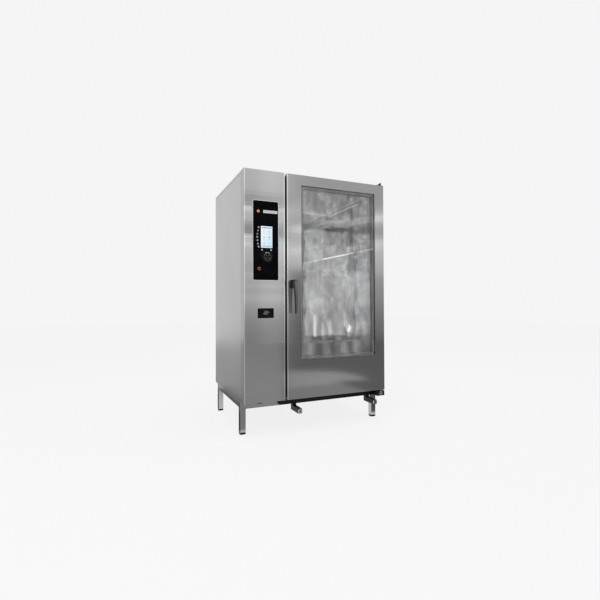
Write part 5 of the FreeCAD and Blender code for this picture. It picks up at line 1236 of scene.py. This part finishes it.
def buildCamera():
    view = bpy.data.cameras.new("studioCamera")
    view.lens = studio["cameraLens"]
    view.sensor_width = 36
    view.shift_x, view.shift_y = studio["cameraShift"]
    thing = newObject("studioCamera", view)
    place = Matrix.Translation(studio["cameraPlace"])
    for axis, degrees in studio["cameraTurns"]:
        place = place @ Matrix.Rotation(math.radians(degrees), 4, axis)
    thing.matrix_world = place
    bpy.context.scene.camera = thing


strips = [                   # left and right end, thickness, level, and whether steel and glass show it
    ("upperTube", (2.0, 2.46), (4.7, 3.00), 0.16, 1.75, True, False),
    ("glassTube", (2.2, 2.70), (4.3, 2.77), 0.13, 1.05, False, True),
    ("lowerTube", (2.0, 2.00), (4.7, 2.38), 0.16, 1.55, True, False),
    ("farTube", (0.6, 2.86), (2.0, 2.90), 0.11, 1.30, True, False),
    ("nearTube", (0.6, 2.28), (1.35, 2.29), 0.07, 1.55, True, False),
    ("deskTube", (0.6, 2.12), (2.0, 2.17), 0.08, 1.30, True, False),
    ("handRail", (2.34, 1.77), (4.28, 2.20), 0.03, 3.0, True, True),
]
passers = [                  # what stands in the room: left and right, low and high, tilt, level, hue
    ((2.88, 3.03), (2.82, 3.33), 0.00, 0.85, (1.00, 0.90, 0.89)),
    ((2.30, 2.80), (1.59, 2.42), 0.05, 0.85, (0.94, 0.98, 1.00)),
    ((2.82, 3.58), (2.17, 2.58), 0.05, 0.32, (1.00, 0.95, 0.93)),
    ((3.58, 3.98), (1.95, 2.50), -0.10, 0.95, (1.00, 1.00, 1.00)),
    ((3.03, 3.94), (1.59, 1.83), 0.12, 0.95, (0.93, 0.95, 1.00)),
    ((2.785, 2.80), (0.10, 3.00), 0.00, 1.40, (1.00, 1.00, 1.00)),
    ((2.30, 3.40), (1.00, 1.50), 0.00, 0.42, (1.00, 0.99, 0.98)),
    ((3.06, 3.18), (0.30, 1.20), 0.00, 0.30, (1.00, 0.96, 0.94)),
    ((3.60, 4.20), (0.60, 1.55), 0.10, 0.62, (0.95, 0.98, 1.00)),
]
gleams = [                   # round lights: middle x and z, half width, half height, level, hue
    (2.54, 0.38, 0.035, 0.25, 3.2, (1.00, 1.00, 0.98)),
    (2.74, 0.27, 0.020, 0.21, 2.4, (1.00, 1.00, 0.98)),
    (2.92, 0.33, 0.035, 0.20, 1.8, (1.00, 0.93, 0.91)),
    (3.41, 0.31, 0.060, 0.09, 4.2, (1.00, 0.99, 0.97)),
    (3.30, 0.42, 0.030, 0.08, 2.2, (1.00, 0.99, 0.97)),
    (3.40, 2.10, 0.045, 0.08, 2.4, (1.00, 1.00, 1.00)),
    (2.55, 1.90, 0.020, 0.14, 2.2, (1.00, 1.00, 1.00)),
    (2.55, 2.46, 0.170, 0.14, 0.85, (0.94, 0.98, 1.00)),
]
thinLights = [((3.08, 2.90), (3.80, 3.24), 0.02), ((2.25, 2.92), (3.05, 2.88), 0.025),
              ((2.90, 1.62), (3.94, 1.72), 0.02)]


steelWalls = [               # left and right, level, and its bands
    ("columnWall", (-9, 1.35), 1.0, columnBands),
    ("middleWall", (1.35, 2), 1.25, columnBands),
    ("doorWall", (2, 9), 1.0, doorBands),
]
steelSheets = [              # outline, height and level of boards on the floor that only steel shows
    ("roomFloor", [(-9, -6), (9, -0.42)], 0.003, 0.16),
    ("columnFloor", [(-9, -6), (1.90, -6), (-0.28, -0.42), (-9, -0.42)], 0.004, 0.40),
    ("paperNear", [(0.286, -1.80), (-0.26, -0.42), (1.00, -0.42), (0.95, -1.87), (0.793, -1.816)], 0.006, 0.36),
    ("paperFar", [(0.66, -2.75), (0.286, -1.78), (0.793, -1.79), (1.095, -1.90), (1.255, -1.78), (1.346, -1.94),
                  (1.359, -2.22), (1.306, -2.43), (1.10, -2.60)], 0.006, 0.53),
]


def buildSteelBoards():
    # what the steel shows of the room and of the paper on the floor
    for name, across, level, bands in steelWalls:
        wall(name, across, (0, studio["wallTop"]), level, bands=bands, inGlass=False)
    for name, left, right, thickness, level, steel, glass in strips:
        strip(name, left, right, thickness, level, inSteel=steel, inGlass=glass)
    card("darkDoorway", [(2.02, -5.95, 0), (2.80, -5.95, 0), (2.70, -5.95, 1.58), (2.02, -5.95, 1.62)], 0.16,
         inGlass=False)
    for name, outline, height, level in steelSheets:
        floorBoard(name, outline, height, level, inGlass=False)
    floorBoard("sideFloor", [(-9, -0.8), (-0.60, 6)], 0.003, 0.45)
    sideWall("leftLight", -7, (-6, -1.5), (0.3, 3.6), 0.62)
    sideWall("rightLight", 8.9, (-4.5, 0.5), (0.3, 3.6), 2.0)
    floorBoard("legFloor", [(-0.84, -0.40), (-0.58, 1.2)], 0.008, 0.04)
    floorBoard("guideFloor", [(0.52, -1.10), (1.6, -0.42)], 0.008, 0.08)


def buildGlassBoards():
    # what is seen through the door's glass
    glass = {"inSteel": False, "hue": (1, 0.99, 0.98)}
    wall("glassWall", (-9, 9), (0, studio["wallTop"]), 0.60, -6.1, clutter=(6.5, 6.5, 3.2), **glass)
    floorBoard("glassFloor", [(-9, -6), (9, -0.8)], 0.005, 0.60, clutter=(3.2, 0.8, 3.2), **glass)
    wall("glassScreen", (-9, 9), (0, 0.33), 0.88, -3, clutter=(9.0, 9.0, 2.4), **glass)
    for number, (across, heights, tilt, level, hue) in enumerate(passers):
        wall(f"passer{number}", across, heights, studio["passerLevel"] * level, studio["passerDepth"], tilt,
             inSteel=False, clutter=(9, 9, 5), hue=hue)
    for number, (middle, height, halfWidth, halfHeight, level, hue) in enumerate(gleams):
        outline = [(middle + halfWidth * math.cos(turn), studio["gleamDepth"], height + halfHeight * math.sin(turn))
                   for turn in turnsOf(24)]
        card(f"gleam{number}", outline, level, inSteel=False, hue=hue)
    for number, (left, right, thickness) in enumerate(thinLights):
        strip(f"thinLight{number}", left, right, thickness, 2.0, inSteel=False)


buildWorld()
buildFloor()
buildSteelBoards()
buildGlassBoards()
buildLamps()
buildCamera()
bpy.context.scene.view_settings.view_transform = "Standard"
print("stage: studio and camera")
